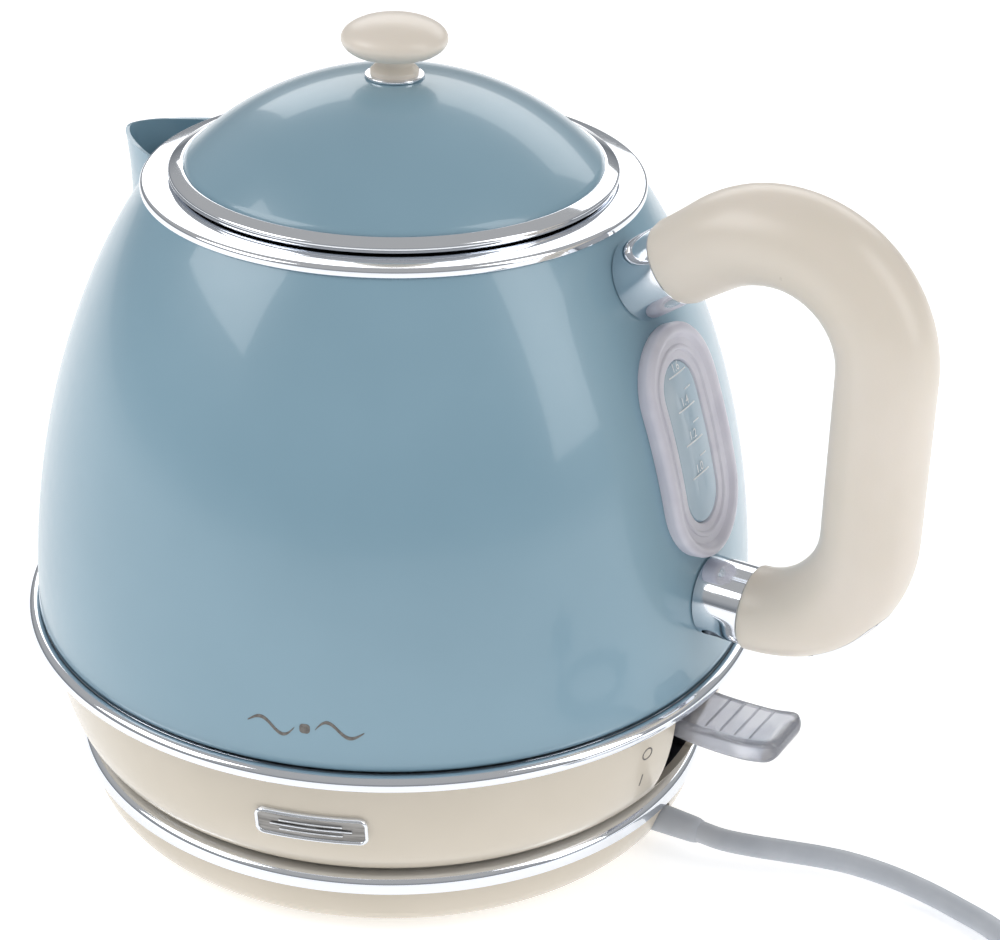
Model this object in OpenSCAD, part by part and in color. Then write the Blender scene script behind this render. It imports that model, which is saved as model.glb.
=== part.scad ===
// Electric kettle: a domed steel jug that lifts off a round power base.
// Millimetres, +Z up. The origin is on the kettle's upright axis, in the plane that it stands on.
// The handle, the switch lever, the water window and the mains lead are at +X, the spout is at -X.

/* [Power base] */
// Outer diameter of the power base over its chrome ring
base_d = 177; // [165:1:215]
// Height of the flat of the chrome ring above the floor
base_h = 20; // [18:0.5:26]
// Width of the flat chrome ring
ring_flat_w = 12.3; // [9:0.1:16]
// Diameter of the raised middle where it leaves the plate
rise_foot_d = 96; // [80:1:110]
// Diameter of the flat top of the raised middle
rise_top_d = 74; // [66:1:78]
// Height of the raised middle above the plate
rise_h = 7; // [5:0.5:9]
// Wall of the base's mouldings
base_wall = 2.2; // [1.6:0.1:3]

/* [Connector] */
// Diameter of the connector tower
turret_d = 31; // [26:0.5:37.5]
// Height of the tower above the raised middle
turret_h = 15.8; // [13:0.2:19]
// Diameter of the hole in the tower
turret_hole_d = 20; // [17:0.5:24]
// Diameter of the loose insert in that hole
insert_d = 13; // [11:0.5:15]
// Diameter of the tower's conical skirt
turret_skirt_d = 43.4; // [38:0.2:50]
// Clearance around the tower inside the jug's socket
socket_gap = 0.7; // [0.5:0.1:1.5]

/* [Jug] */
// Largest diameter of the steel body
jug_d = 195.4; // [160:0.2:240]
// Height of the skirt under the trim ring
skirt_h = 36; // [32:1:44]
// Height from the trim ring to the mouth of the body
body_h = 119; // [99:1:130]
// Height of the ellipse that the body's side follows
dome_h = 158; // [146:1:186]
// Sheet thickness of the body
sheet = 1; // [0.6:0.1:1.5]
// Wall of the skirt
skirt_wall = 2.2; // [1.6:0.1:3]
// How far the chrome roll stands out from the body
roll_out = 3.2; // [2:0.1:5]
// Height of the heater plate above the trim ring
plate_up = 18; // [14:1:24]
// Gap between the skirt's lower edge and the base's ring
seat_gap = 0.3; // [0.2:0.1:0.6]

/* [Window] */
// Outer width of the window's bezel
bezel_w = 33; // [26:0.5:40]
// Drop from the mouth of the body to the bezel's upper end
bezel_drop = 22; // [20:1:34]
// Height of the bezel's lower end above the trim ring
bezel_up = 39; // [34:1:48]
// Width of the clear strip
lens_w = 15; // [11:0.5:18]

/* [Handle] */
// Diameter of the grip
grip_d = 24.4; // [20:0.2:30]
// Distance from the body's side to the grip's centre line
grip_reach = 40; // [36:1:50]
// Radius of the grip's bends on the centre line
grip_bend = 29; // [26:1:34]
// Height of the lower ferrule's axis above the trim ring
ferrule_up = 27; // [24:1:32]
// Drop from the mouth of the body to the upper ferrule's foot
upper_foot_drop = 11; // [10:0.5:15]
// Diameter of the chrome ferrules
ferrule_d = 20.6; // [18:0.2:24]
// Length of the upper ferrule
ferrule_len = 12; // [9:0.5:14]

/* [Switch lever] */
// Width of the lever
lever_w = 20; // [16:0.5:24]
// How far the lever stands out from the skirt
lever_out = 27; // [22:1:34]
// Thickness of the lever
lever_t = 6.4; // [5:0.2:8]

/* [Lid] */
// Width of the chrome collar around the lid
collar_w = 7.5; // [5:0.5:10]
// Rise of the lid's dome
lid_rise = 25; // [20:1:32]
// Diameter of the knob
knob_d = 27; // [20:1:34]
// Height of the knob above the dome
knob_h = 15; // [12:0.5:20]
// Sheet thickness of the lid
lid_sheet = 1; // [0.6:0.1:1.5]

/* [Mains lead] */
// Diameter of the mains lead
cord_d = 6; // [5.4:0.1:7]

/* [Hidden] */

// Fineness of round pieces
$fn = 96;
// A cut runs this far past the face that it opens
past = 1;
// Gap of pieces that are pressed or laid together
fit = 0.1;

// Colours
blue = [0.56, 0.70, 0.78];
cream = [0.85, 0.80, 0.71];
ivory = [0.85, 0.81, 0.75];
chrome = [0.85, 0.86, 0.88];
steel = [0.70, 0.71, 0.72];
black = [0.12, 0.12, 0.13];
brass = [0.80, 0.66, 0.32];
rubber = [0.20, 0.20, 0.21];
smoke = [0.68, 0.69, 0.74];
lead_grey = [0.76, 0.77, 0.79];

// Power base, derived
base_r = base_d / 2;
ring_lip = 2.3;
ring_out_r = base_r - ring_lip;
ring_in_r = ring_out_r - ring_flat_w;
ring_t = 1.2;
plate_z = base_h - 1.5;
rise_z = plate_z + rise_h;
floor_z = 2;
shell_top_z = base_h - 4.6;
shell_top_r = base_r - ring_t - fit;
shell_foot_r = base_r - 9.5;
foot_in_r = shell_foot_r - 14;
foot_out_r = shell_foot_r - 8;
foot_groove = 1.2;
base_screw_r = foot_in_r - 5;
cord_z = 9;

// Connector, derived
turret_r = turret_d / 2;
turret_top_z = rise_z + turret_h;
turret_hole_r = turret_hole_d / 2;
turret_skirt_r = turret_skirt_d / 2;
turret_skirt_h = 4.5;
turret_floor_z = rise_z - 2.6;
flange_r = turret_skirt_r + 5.5;
flange_t = 2.6;
flange_top_z = rise_z - base_wall - fit;
insert_r = insert_d / 2;
insert_z = turret_floor_z + 2.4;
insert_h = turret_top_z - insert_z - 1;
socket_r = turret_r + socket_gap;
live_hole_r = 2.2;
live_pin_r = 1.6;
neutral_r = (insert_r + turret_hole_r) / 2;

// Jug, derived
jug_r = jug_d / 2;
ring_z = base_h + skirt_h;
mouth_z = ring_z + body_h;
shell_z = ring_z + 3.2;
skirt_top_r = jug_r - 2.8;
skirt_foot_r = base_r - 6.5;
skirt_foot_z = base_h + seat_gap;
heater_z = ring_z + plate_up;
cover_z = base_h + 1.6;
cover_rise_z = rise_z + 2.6;
cover_rise_r = rise_top_d / 2 + 2;
cover_foot_r = rise_foot_d / 2 + 2.5;
cover_t = 2;
control_r = 33;
control_z = cover_rise_z + cover_t + 0.4;
control_h = heater_z - 9 - control_z;
lug_screw_place = control_r + 3.9;
lug_r = control_r + 7.5;
tube_r = 3;
tube_place = dome_r(mouth_z) - 0.33;
tube_turn = 130;
spreader_r = tube_place - tube_r - 3;
// The element runs between the control's lugs and the steam tube
element_r = lug_r + (tube_place - tube_r - lug_r) * 0.46;
element_gap = 30;
terminal_turn = element_gap - 100 / element_r;

// Radius of the body's outside at height z, moved out by off
function dome_r(z, off = 0) =
    (jug_r + off) * sqrt(max(0, 1 - pow((z - ring_z) / (dome_h + off), 2)));

// Outline of the body between two heights, moved out by off
function dome_line(z0, z1, off, steps = 20) =
    [for (i = [0:steps]) let (z = z0 + (z1 - z0) * i / steps) [dome_r(z, off), z]];

// Radius of the skirt's outside at height z
function skirt_r(z, off = 0) =
    skirt_foot_r + off + (skirt_top_r - skirt_foot_r)
    * sqrt(max(0, 1 - pow((ring_z - z) / (ring_z - skirt_foot_z), 2)));

// The cover's edge clears the skirt's inside at both of its faces
cover_r = min(skirt_foot_r, skirt_r(cover_z + cover_t)) - skirt_wall - 0.4;

// Outline of the skirt from its top down to its foot, moved out by off
function skirt_line(off, steps = 14) =
    [for (i = [0:steps]) let (a = 90 * i / steps)
        [skirt_foot_r + off + (skirt_top_r - skirt_foot_r) * cos(a),
         ring_z - (ring_z - skirt_foot_z) * sin(a)]];

// Points of an arc
function arc(cx, cy, r, a0, a1, steps = 8) =
    [for (i = [0:steps]) let (a = a0 + (a1 - a0) * i / steps) [cx + r * cos(a), cy + r * sin(a)]];

function reversed(list) = [for (i = [len(list) - 1:-1:0]) list[i]];

// Window, derived
bezel_z0 = ring_z + bezel_up;
bezel_z1 = mouth_z - bezel_drop;
bezel_proud = 3.8;
bezel_lip = 3.6;
step_proud = 1.8;
sleeve_w = lens_w + 4.4;
sleeve_in = 3;

// Handle, derived
column_x = jug_r + grip_reach;
bend_x = column_x - grip_bend;
ferrule_z = ring_z + ferrule_up;
low_bend_z = ferrule_z + grip_bend;
upper_tilt = 35;
screw_place = 4.6;
screw_turn = 42;
upper_foot_z = mouth_z - upper_foot_drop;
upper_foot_x = dome_r(upper_foot_z);
arc_end_x = bend_x - grip_bend * sin(upper_tilt);
upper_run = (arc_end_x - upper_foot_x) / cos(upper_tilt);
arc_end_z = upper_foot_z + upper_run * sin(upper_tilt);
top_bend_z = arc_end_z - grip_bend * cos(upper_tilt);
grip_r = grip_d / 2;
grip_end_r = ferrule_d / 2 + 0.7;
core_r = 6.5;
ferrule_r = ferrule_d / 2;
stud_r = 6.5;
stud_len = 8;
screw_r = 1.6;

// Switch lever, derived
pivot_x = skirt_top_r - 15;
pivot_z = ring_z - 8.5;
lever_tip_x = skirt_top_r + lever_out;
slot_gap = 1.1;
slot_w = lever_w + 2 * slot_gap;
slot_top_z = ring_z - 3;
slot_foot_z = skirt_foot_z + 6;
well_wall = 1.4;
well_x = pivot_x - 8;
lever_pin_r = 1.5;

// Lid, derived
mouth_r = dome_r(mouth_z);
lid_r = mouth_r - collar_w;
collar_in_r = lid_r - 3;
lid_z = mouth_z + 3.4;
lid_top_z = lid_z + lid_rise;
lid_curve_r = (lid_r * lid_r + lid_rise * lid_rise) / (2 * lid_rise);
lid_skirt_r = collar_in_r - 1.4;

// Spout, derived
spout_top_z = mouth_z - 4;
spout_foot_z = mouth_z - 38;
spout_hole_w = 30;
spout_hole_h = 17;
spout_hole_z = mouth_z - 17;

// Route of the mains lead from the strain relief to the coil
cord_route = [[98, 0, 9], [105, 0, 9], [113, 1.8, 9], [122, 5.4, 8.4], [130, 9.2, 7.4],
              [138, 12.4, 6.2], [148, 14.4, 4.8], [158, 14.6, 3.7], [168, 13, 3.1],
              [178, 10, 3.1], [186, 5, 3.1], [192.5, -2, 3.1], [196, -9.5, 3.1]];
// Route of the lead from the coil to the plug
plug_route = [[264, -70.5, 10], [271, -71.4, 10.4], [278, -73.6, 11.4], [284, -75, 12],
              [290, -75, 12]];
// Middle of the coil, its inner and outer radius and its height
coil_x = 240;
coil_y = -29;
coil_in_r = 31;
coil_out_r = 44.5;
coil_h = 13.4;
// Middle of the plug, which lies on its back with its pins up
plug_x = 333;
plug_y = -75;
plug_r = 19;
plug_h = 26;
plug_neck_z = 12;
plug_neck_len = 26;

// ---- shapes shared by several pieces ----

// A solid of revolution from an outline of [radius, height] points
module turned(points) {
    rotate_extrude() polygon(points);
}

// A ring of rectangular section
module band(r0, r1, z0, z1) {
    translate([0, 0, z0])
        difference() {
            cylinder(r = r1, h = z1 - z0);
            translate([0, 0, -past]) cylinder(r = r0, h = z1 - z0 + 2 * past);
        }
}

// The skin that follows the body between two offsets and two heights
module dome_skin(off0, off1, z0, z1) {
    turned(concat(dome_line(z0, z1, off1), reversed(dome_line(z0, z1, off0))));
}

// Everything inside the body's outside
module dome_core(off = 0) {
    turned(concat([[0, ring_z]], dome_line(ring_z, mouth_z, off), [[0, mouth_z]]));
}

// An upright slot outline with round ends, between two heights
module upright_slot(w, z0, z1) {
    translate([0, z0 + w / 2]) circle(d = w);
    translate([0, z1 - w / 2]) circle(d = w);
    translate([-w / 2, z0 + w / 2]) square([w, z1 - z0 - w]);
}

// Pushes an outline (y, z) along +X between two places
module along_x(x0, x1) {
    translate([x0, 0, 0]) rotate([90, 0, 90]) linear_extrude(x1 - x0) children();
}

// A rounded rectangle, centred
module round_box(w, h, r) {
    for (sx = [-1, 1], sy = [-1, 1])
        translate([sx * (w / 2 - r), sy * (h / 2 - r)]) circle(r = r, $fn = 32);
    square([w - 2 * r, h], center = true);
    square([w, h - 2 * r], center = true);
}

// A pan-head screw whose head's underside is at the origin, pointing along +Z
module pan_screw(r, length, head_r, head_h) {
    cylinder(r = r, h = length, $fn = 24);
    difference() {
        translate([0, 0, -head_h]) cylinder(r = head_r, h = head_h, $fn = 32);
        for (a = [0, 90])
            rotate([0, 0, a])
                translate([-head_r * 0.6, -head_r * 0.13, -head_h - past])
                    cube([head_r * 1.2, head_r * 0.26, past + head_h * 0.5]);
    }
}

// A tube section swept along points by rings that stand square to the route
function route_dir(p, i) =
    let (a = p[max(0, i - 1)], b = p[min(len(p) - 1, i + 1)]) (b - a) / norm(b - a);
function route_ring(p, i, r, sides, level) =
    let (t = route_dir(p, i), u = cross(t, level) / norm(cross(t, level)), v = cross(u, t))
    [for (k = [0:sides - 1]) let (a = 360 * k / sides) p[i] + r * cos(a) * u + r * sin(a) * v];
// radii holds one radius, or one for each point; level is a direction that the route never takes
module swept_tube(p, radii, sides = 8, level = [0, 0, 1]) {
    rings = len(p);
    points = [for (i = [0:rings - 1])
        each route_ring(p, i, is_list(radii) ? radii[i] : radii, sides, level)];
    walls = [for (i = [0:rings - 2], k = [0:sides - 1])
        let (a = i * sides + k, b = i * sides + (k + 1) % sides)
        [b, b + sides, a + sides, a]];
    ends = [[for (k = [sides - 1:-1:0]) k],
            [for (k = [0:sides - 1]) (rings - 1) * sides + k]];
    polyhedron(points = points, faces = concat(walls, ends));
}

// ---- power base ----

module base_shell() {
    outside = [for (i = [0:10]) let (a = 90 * i / 10)
        [shell_foot_r + (shell_top_r - shell_foot_r) * cos(a),
         shell_top_z - (shell_top_z - floor_z) * sin(a)]];
    inside = [for (p = reversed(outside))
        [p[0] - base_wall, max(p[1], floor_z + base_wall)]];
    color(cream)
    difference() {
        union() {
            turned(concat(outside, [[0, floor_z], [0, floor_z + base_wall],
                                    [shell_foot_r - base_wall, floor_z + base_wall]],
                          [for (p = inside) if (p[1] > floor_z + base_wall) p]));
            for (a = [45:90:315])
                rotate([0, 0, a]) translate([base_screw_r, 0, floor_z])
                    cylinder(r = 4, h = plate_z - base_wall - floor_z - fit, $fn = 32);
        }
        band(foot_in_r - fit, foot_out_r + fit, floor_z - past, floor_z + foot_groove);
        for (a = [45:90:315])
            rotate([0, 0, a]) translate([base_screw_r, 0, 0]) {
                translate([0, 0, floor_z - past]) cylinder(r = screw_r + 0.3, h = base_h, $fn = 24);
                translate([0, 0, floor_z - past]) cylinder(r = 3.2, h = past + 2, $fn = 32);
            }
        translate([shell_foot_r - 8, 0, cord_z]) rotate([0, 90, 0])
            cylinder(r = cord_d / 2 + 1.5, h = 30, $fn = 32);
    }
}

module base_plate() {
    color(cream)
    difference() {
        union() {
            turned([[0, rise_z], [rise_top_d / 2, rise_z], [rise_foot_d / 2, plate_z],
                    [ring_in_r + 6, plate_z], [ring_in_r + 6, plate_z - base_wall],
                    [rise_foot_d / 2 - 1.2, plate_z - base_wall],
                    [rise_top_d / 2 - 1.2, rise_z - base_wall], [0, rise_z - base_wall]]);
        }
        translate([0, 0, rise_z - base_wall - past])
            cylinder(r = turret_skirt_r + 0.3, h = base_wall + 2 * past);
        for (a = [45:90:315])
            rotate([0, 0, a]) translate([base_screw_r, 0, plate_z - base_wall - past])
                cylinder(r = screw_r, h = past + base_wall - 0.8, $fn = 24);
        for (a = [30:120:270])
            rotate([0, 0, a]) translate([flange_r - 2.6, 0, rise_z - base_wall - past])
                cylinder(r = screw_r, h = past + base_wall - 0.8, $fn = 24);
    }
}

module base_ring() {
    color(chrome)
    turned(concat(
        [[ring_in_r, base_h - 0.4], [ring_in_r + 0.4, base_h]],
        arc(ring_out_r, base_h - ring_lip, ring_lip, 90, 0),
        [[base_r, shell_top_z - 0.6], [base_r - ring_t, shell_top_z - 0.6]],
        arc(ring_out_r, base_h - ring_lip, ring_lip - ring_t, 0, 90),
        [[ring_in_r + ring_t, base_h - ring_t], [ring_in_r + ring_t, plate_z + fit],
         [ring_in_r, plate_z + fit]]));
}

module foot_ring() {
    color(rubber) band(foot_in_r, foot_out_r, 0, floor_z + foot_groove - fit);
}

module base_screws() {
    color(steel)
    for (a = [45:90:315])
        rotate([0, 0, a]) translate([base_screw_r, 0, floor_z + 2])
            pan_screw(screw_r - fit, plate_z - floor_z - 3.2, 2.9, 1.6);
}

module connector_turret() {
    top_round = 1.6;
    color(black)
    difference() {
        turned(concat(
            [[0, turret_floor_z - 1.8], [turret_hole_r + 2, turret_floor_z - 1.8],
             [turret_hole_r + 2, flange_top_z - flange_t], [flange_r, flange_top_z - flange_t],
             [flange_r, flange_top_z], [turret_skirt_r, flange_top_z],
             [turret_skirt_r, rise_z + 0.8], [turret_r - 0.4, rise_z + turret_skirt_h],
             [turret_r - 0.4, turret_top_z - 4.4], [turret_r, turret_top_z - 4]],
            arc(turret_r - top_round, turret_top_z - top_round, top_round, 0, 90),
            [[0, turret_top_z]]));
        translate([0, 0, turret_floor_z])
            cylinder(r = turret_hole_r, h = turret_h + 20);
        // the small key notch at the skirt's foot
        rotate([0, 0, 200]) translate([turret_skirt_r - 1, -2, rise_z - 0.1])
            cube([3, 4, 1.6]);
        for (a = [30:120:270])
            rotate([0, 0, a]) translate([flange_r - 2.6, 0, flange_top_z - flange_t - past])
                cylinder(r = screw_r + 0.2, h = flange_t + 2 * past, $fn = 24);
    }
}

module connector_insert() {
    color(rubber)
    difference() {
        translate([0, 0, insert_z]) cylinder(r = insert_r, h = insert_h);
        translate([0, 0, insert_z - past]) cylinder(r = live_hole_r, h = insert_h + 2 * past);
        for (a = [90:120:330])
            rotate([0, 0, a])
                translate([live_hole_r + 0.6, -0.6, insert_z + insert_h - 2])
                    cube([insert_r - live_hole_r - 1.6, 1.2, 2 + past]);
    }
}

module turret_contacts() {
    color(brass) {
        translate([0, 0, turret_floor_z + fit]) cylinder(r = 1.8, h = 1.6, $fn = 32);
        band(turret_hole_r - 0.9, turret_hole_r - fit, turret_floor_z + fit, turret_floor_z + 9);
        for (a = [0, 120, 240])
            rotate([0, 0, a]) translate([5, -1.6, turret_floor_z - 6.4]) cube([0.8, 3.2, 4.5]);
    }
}

module turret_screws() {
    color(steel)
    for (a = [30:120:270])
        rotate([0, 0, a]) translate([flange_r - 2.6, 0, flange_top_z - flange_t])
            pan_screw(screw_r - fit, flange_t + 1, 2.6, 1.6);
}

clamp_x = shell_foot_r - 22;
module cord_clamp() {
    color(ivory)
    difference() {
        translate([clamp_x - 5, -13, floor_z + base_wall + fit])
            cube([10, 26, cord_z + cord_d / 2 + 0.4 - floor_z - base_wall]);
        translate([clamp_x - 6, 0, cord_z]) rotate([0, 90, 0])
            cylinder(d = cord_d + 0.2, h = 12, $fn = 32);
        for (s = [-1, 1])
            translate([clamp_x, s * 9, floor_z]) cylinder(r = screw_r, h = 20, $fn = 24);
    }
}

module clamp_screws() {
    color(steel)
    for (s = [-1, 1])
        translate([clamp_x, s * 9, cord_z + cord_d / 2 + 0.4 + fit]) rotate([180, 0, 0])
            pan_screw(screw_r - fit, 7, 2.6, 1.6);
}

// One straight wire from the clamp to the tower, and its turn up
module base_leads() {
    colors = ["saddlebrown", "royalblue", "olive"];
    for (k = [0:2])
        color(colors[k]) {
            y = (k - 1) * 2.6;
            translate([8, y, cord_z]) rotate([0, 90, 0])
                cylinder(r = 1.1, h = clamp_x - 5.4 - 8, $fn = 24);
            translate([8, y, cord_z]) sphere(r = 1.1, $fn = 24);
            translate([8, y, cord_z]) cylinder(r = 1.1, h = turret_floor_z - 6.6 - cord_z, $fn = 24);
        }
}

// ---- mains lead ----

module strain_relief() {
    color(lead_grey)
    translate([shell_foot_r - 4, 0, cord_z]) rotate([0, 90, 0])
        difference() {
            union() {
                cylinder(r1 = cord_d / 2 + 1.4, r2 = cord_d / 2 + 0.7,
                         h = cord_route[0][0] - shell_foot_r + 4);
                cylinder(r = cord_d / 2 + 3, h = 1.6);
            }
            translate([0, 0, -past]) cylinder(d = cord_d, h = 6 + past);
            // the flange is cut flat over the floor
            translate([cord_z - floor_z - base_wall - fit, -cord_d, -past])
                cube([cord_d, 2 * cord_d, 1.6 + 2 * past]);
        }
}

module mains_cord() {
    color(lead_grey) {
        swept_tube(cord_route, cord_d / 2);
        translate([clamp_x - 5, 0, cord_z]) rotate([0, 90, 0])
            cylinder(d = cord_d, h = min(shell_foot_r + 2, cord_route[0][0] - 6) - clamp_x + 5,
                     $fn = 24);
    }
}

module cord_coil() {
    color(lead_grey)
    translate([coil_x, coil_y, 0]) band(coil_in_r, coil_out_r, 0, coil_h);
}

module cord_tie() {
    color(black)
    translate([coil_x, coil_y + (coil_in_r + coil_out_r) / 2, 0])
        difference() {
            translate([-2.5, -(coil_out_r - coil_in_r) / 2 - 1.6, 0])
                cube([5, coil_out_r - coil_in_r + 3.2, coil_h + 1]);
            translate([-2.5 - past, -(coil_out_r - coil_in_r) / 2 - fit, -past])
                cube([5 + 2 * past, coil_out_r - coil_in_r + 2 * fit, coil_h + past + fit]);
        }
}

module plug_lead() {
    color(lead_grey) swept_tube(plug_route, cord_d / 2);
}

module plug_body() {
    color(lead_grey)
    translate([plug_x, plug_y, 0])
        difference() {
            union() {
                turned(concat([[0, 0], [plug_r - 4, 0]],
                              arc(plug_r - 4, 4, 4, -90, 0), [[plug_r, plug_h], [0, plug_h]]));
                translate([-plug_r - plug_neck_len + 2, 0, plug_neck_z]) rotate([0, 90, 0])
                    cylinder(r1 = cord_d / 2 + 0.6, r2 = 8, h = plug_neck_len + 4);
            }
            // the earth socket in the face
            translate([0, 7, plug_h - 12]) cylinder(r = 2.5, h = 12 + past, $fn = 32);
            for (s = [-1, 1])
                translate([-4, s * plug_r - (s > 0 ? 2.6 : 0), plug_h - 14])
                    cube([8, 2.6, 14 + past]);
        }
}

module plug_pins() {
    color(brass)
    for (s = [-1, 1])
        translate([plug_x + s * 9.5, plug_y, plug_h + fit - fit]) {
            cylinder(r = 2.4, h = 17, $fn = 32);
            translate([0, 0, 17]) cylinder(r1 = 2.4, r2 = 1.4, h = 2, $fn = 32);
        }
}

module plug_earth_clips() {
    color(brass)
    for (s = [-1, 1])
        translate([plug_x - 3, plug_y + s * (plug_r - 1.3) - 0.4, plug_h - 13.9])
            cube([6, 0.8, 13.4]);
}

// ---- jug: body ----

module body_shell() {
    color(blue)
    difference() {
        turned(concat([[jug_r - 1.6, shell_z - 0.6]], dome_line(shell_z, mouth_z, 0),
                      reversed(dome_line(shell_z, mouth_z, -sheet)),
                      [[jug_r - 1.6 - sheet, shell_z - 0.6]]));
        along_x(jug_r * 0.5, jug_r + 10)
            upright_slot(sleeve_w + 0.3, bezel_z0 + bezel_lip + 3, bezel_z1 - bezel_lip - 3);
        along_x(-jug_r - 10, -jug_r * 0.3)
            translate([0, spout_hole_z]) round_box(spout_hole_w, spout_hole_h, 5);
    }
}

// Moves a piece built along +Z onto the upper ferrule's slanting axis, its foot on the body
module on_upper_axis() {
    translate([upper_foot_x, 0, upper_foot_z]) rotate([0, 90 - upper_tilt, 0]) children();
}

// The lower ferrule's screw comes up from below, turned a little towards -Y
module at_lower_screw() {
    translate([dome_r(ferrule_z) + screw_place, 0, ferrule_z]) rotate([-screw_turn, 0, 0])
        children();
}

module handle_studs() {
    color(steel)
    difference() {
        union() {
            translate([dome_r(ferrule_z) - 4, 0, ferrule_z]) rotate([0, 90, 0])
                cylinder(r = stud_r, h = 4 + stud_len, $fn = 48);
            on_upper_axis() translate([0, 0, -6]) cylinder(r = stud_r, h = 6 + stud_len, $fn = 48);
        }
        dome_core(0.05);
        at_lower_screw() translate([0, 0, -stud_r - past])
            cylinder(r = screw_r, h = stud_r + past, $fn = 24);
        on_upper_axis() translate([0, 0, 5]) rotate([0, 90, 0])
            cylinder(r = screw_r, h = stud_r + past, $fn = 24);
    }
}

module spout() {
    tip_x = -dome_r(spout_top_z) - 22;
    thick = 1.2;
    color(blue)
    difference() {
        hull() {
            translate([-dome_r(spout_top_z) + 4, 0, spout_top_z - 3])
                cube([2, 40, 6], center = true);
            translate([tip_x, 0, spout_top_z + 1]) cube([2, 15, 4], center = true);
            translate([-dome_r(spout_foot_z) + 3, 0, spout_foot_z]) sphere(r = 5, $fn = 24);
        }
        hull() {
            translate([-dome_r(spout_top_z) + 5, 0, spout_top_z + 2])
                cube([6, 40 - 2 * thick, 14], center = true);
            translate([tip_x, 0, spout_top_z + 6]) cube([4, 15 - 2 * thick, 9], center = true);
            translate([-dome_r(spout_foot_z) + 5, 0, spout_foot_z + 5])
                sphere(r = 4, $fn = 24);
        }
        dome_core(0.1);
        translate([0, 0, mouth_z - 30]) cylinder(r = mouth_r, h = 60);
    }
}

module filter_frame() {
    color(ivory)
    intersection() {
        dome_skin(-sheet - 2.2, -sheet - 0.2, spout_hole_z - 14, mouth_z - 3);
        along_x(-jug_r, -jug_r * 0.3)
            difference() {
                translate([0, spout_hole_z]) round_box(spout_hole_w + 6, spout_hole_h + 5, 5);
                translate([0, spout_hole_z]) round_box(spout_hole_w - 2, spout_hole_h - 2, 4);
            }
    }
}

module filter_mesh() {
    color(steel)
    intersection() {
        dome_skin(-sheet - 1.5, -sheet - 0.9, spout_hole_z - 14, mouth_z - 3);
        along_x(-jug_r, -jug_r * 0.3)
            translate([0, spout_hole_z]) round_box(spout_hole_w - 2.2, spout_hole_h - 2.2, 4);
    }
}

module top_collar() {
    color(chrome)
    turned(concat(
        [[collar_in_r, mouth_z - 8], [collar_in_r + 1, mouth_z - 8],
         [collar_in_r + 1, mouth_z + fit], [mouth_r - 0.6, mouth_z + fit]],
        arc(mouth_r - 0.6, mouth_z + 1.3, 1.2, -90, 90),
        [[lid_r + 1.2, lid_z - 0.5], [lid_r - 1.6, lid_z - 0.5], [collar_in_r, lid_z - 1.2]]));
}

module trim_ring() {
    roll_r = 2.2;
    color(chrome)
    turned(concat(
        [[jug_r - 4.4, ring_z - 1.4], [jug_r - 1, ring_z - 1.4]],
        arc(jug_r + roll_out - roll_r, ring_z + 0.8, roll_r, -90, 120),
        [[jug_r + 0.2, ring_z + 2.2], [jug_r - 1.2, shell_z - 0.9], [jug_r - 4.4, shell_z - 0.9]]));
}

// ---- jug: underside ----

module skirt() {
    color(cream)
    difference() {
        union() {
            difference() {
                turned(concat(skirt_line(0), reversed(skirt_line(-skirt_wall))));
                along_x(pivot_x, jug_r + 10) translate([-slot_w / 2, slot_foot_z])
                    square([slot_w, slot_top_z - slot_foot_z]);
            }
            // the well that the lever sits in
            intersection() {
                turned(concat([[0, ring_z]], skirt_line(-0.6), [[0, skirt_foot_z]]));
                along_x(well_x, jug_r)
                    difference() {
                        translate([-slot_w / 2 - well_wall, slot_foot_z - well_wall])
                            square([slot_w + 2 * well_wall,
                                    slot_top_z - slot_foot_z + 2 * well_wall]);
                        translate([-slot_w / 2, slot_foot_z])
                            square([slot_w, slot_top_z - slot_foot_z]);
                    }
            }
        }
        translate([0, 0, ring_z - 1.5]) cylinder(r = jug_r + 10, h = 10);
        translate([pivot_x, 0, pivot_z]) rotate([90, 0, 0])
            cylinder(r = lever_pin_r + 0.05, h = slot_w + 8, center = true, $fn = 32);
    }
}

module bottom_cover() {
    hole_r = turret_skirt_r + 2;
    color(black)
    difference() {
        turned([[hole_r, cover_rise_z], [cover_rise_r, cover_rise_z], [cover_foot_r, cover_z],
                [cover_r, cover_z], [cover_r, cover_z + cover_t],
                [cover_foot_r + 1, cover_z + cover_t], [cover_rise_r + 1, cover_rise_z + cover_t],
                [hole_r, cover_rise_z + cover_t]]);
        for (a = [60:120:300])
            rotate([0, 0, a]) translate([cover_r - 8, 0, cover_z - past])
                cylinder(r = screw_r + 0.2, h = cover_t + 2 * past, $fn = 24);
    }
    // screw posts that reach up to the heater's plate
    color(black)
    for (a = [60:120:300])
        rotate([0, 0, a]) translate([cover_r - 8, 0, cover_z + cover_t - 0.2])
            difference() {
                cylinder(r = 4, h = ring_z - cover_z - 6, $fn = 32);
                translate([0, 0, -past]) cylinder(r = screw_r, h = 12, $fn = 24);
            }
}

module bottom_screws() {
    color(steel)
    for (a = [60:120:300])
        rotate([0, 0, a]) translate([cover_r - 8, 0, cover_z])
            pan_screw(screw_r - fit, 9, 2.6, 1);
}

heater_r = dome_r(heater_z, -sheet) - 2.2;
module heater_plate() {
    color(steel)
    difference() {
        turned([[0, heater_z], [heater_r - 3, heater_z], [heater_r - 2, heater_z + 0.6],
                [heater_r - 2, heater_z + 9], [heater_r - 1, heater_z + 9],
                [heater_r - 1, heater_z - 1], [0, heater_z - 1]]);
        rotate([0, 0, tube_turn]) translate([tube_place, 0, heater_z - 5])
            cylinder(r = tube_r + fit, h = 10, $fn = 32);
    }
}

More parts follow.
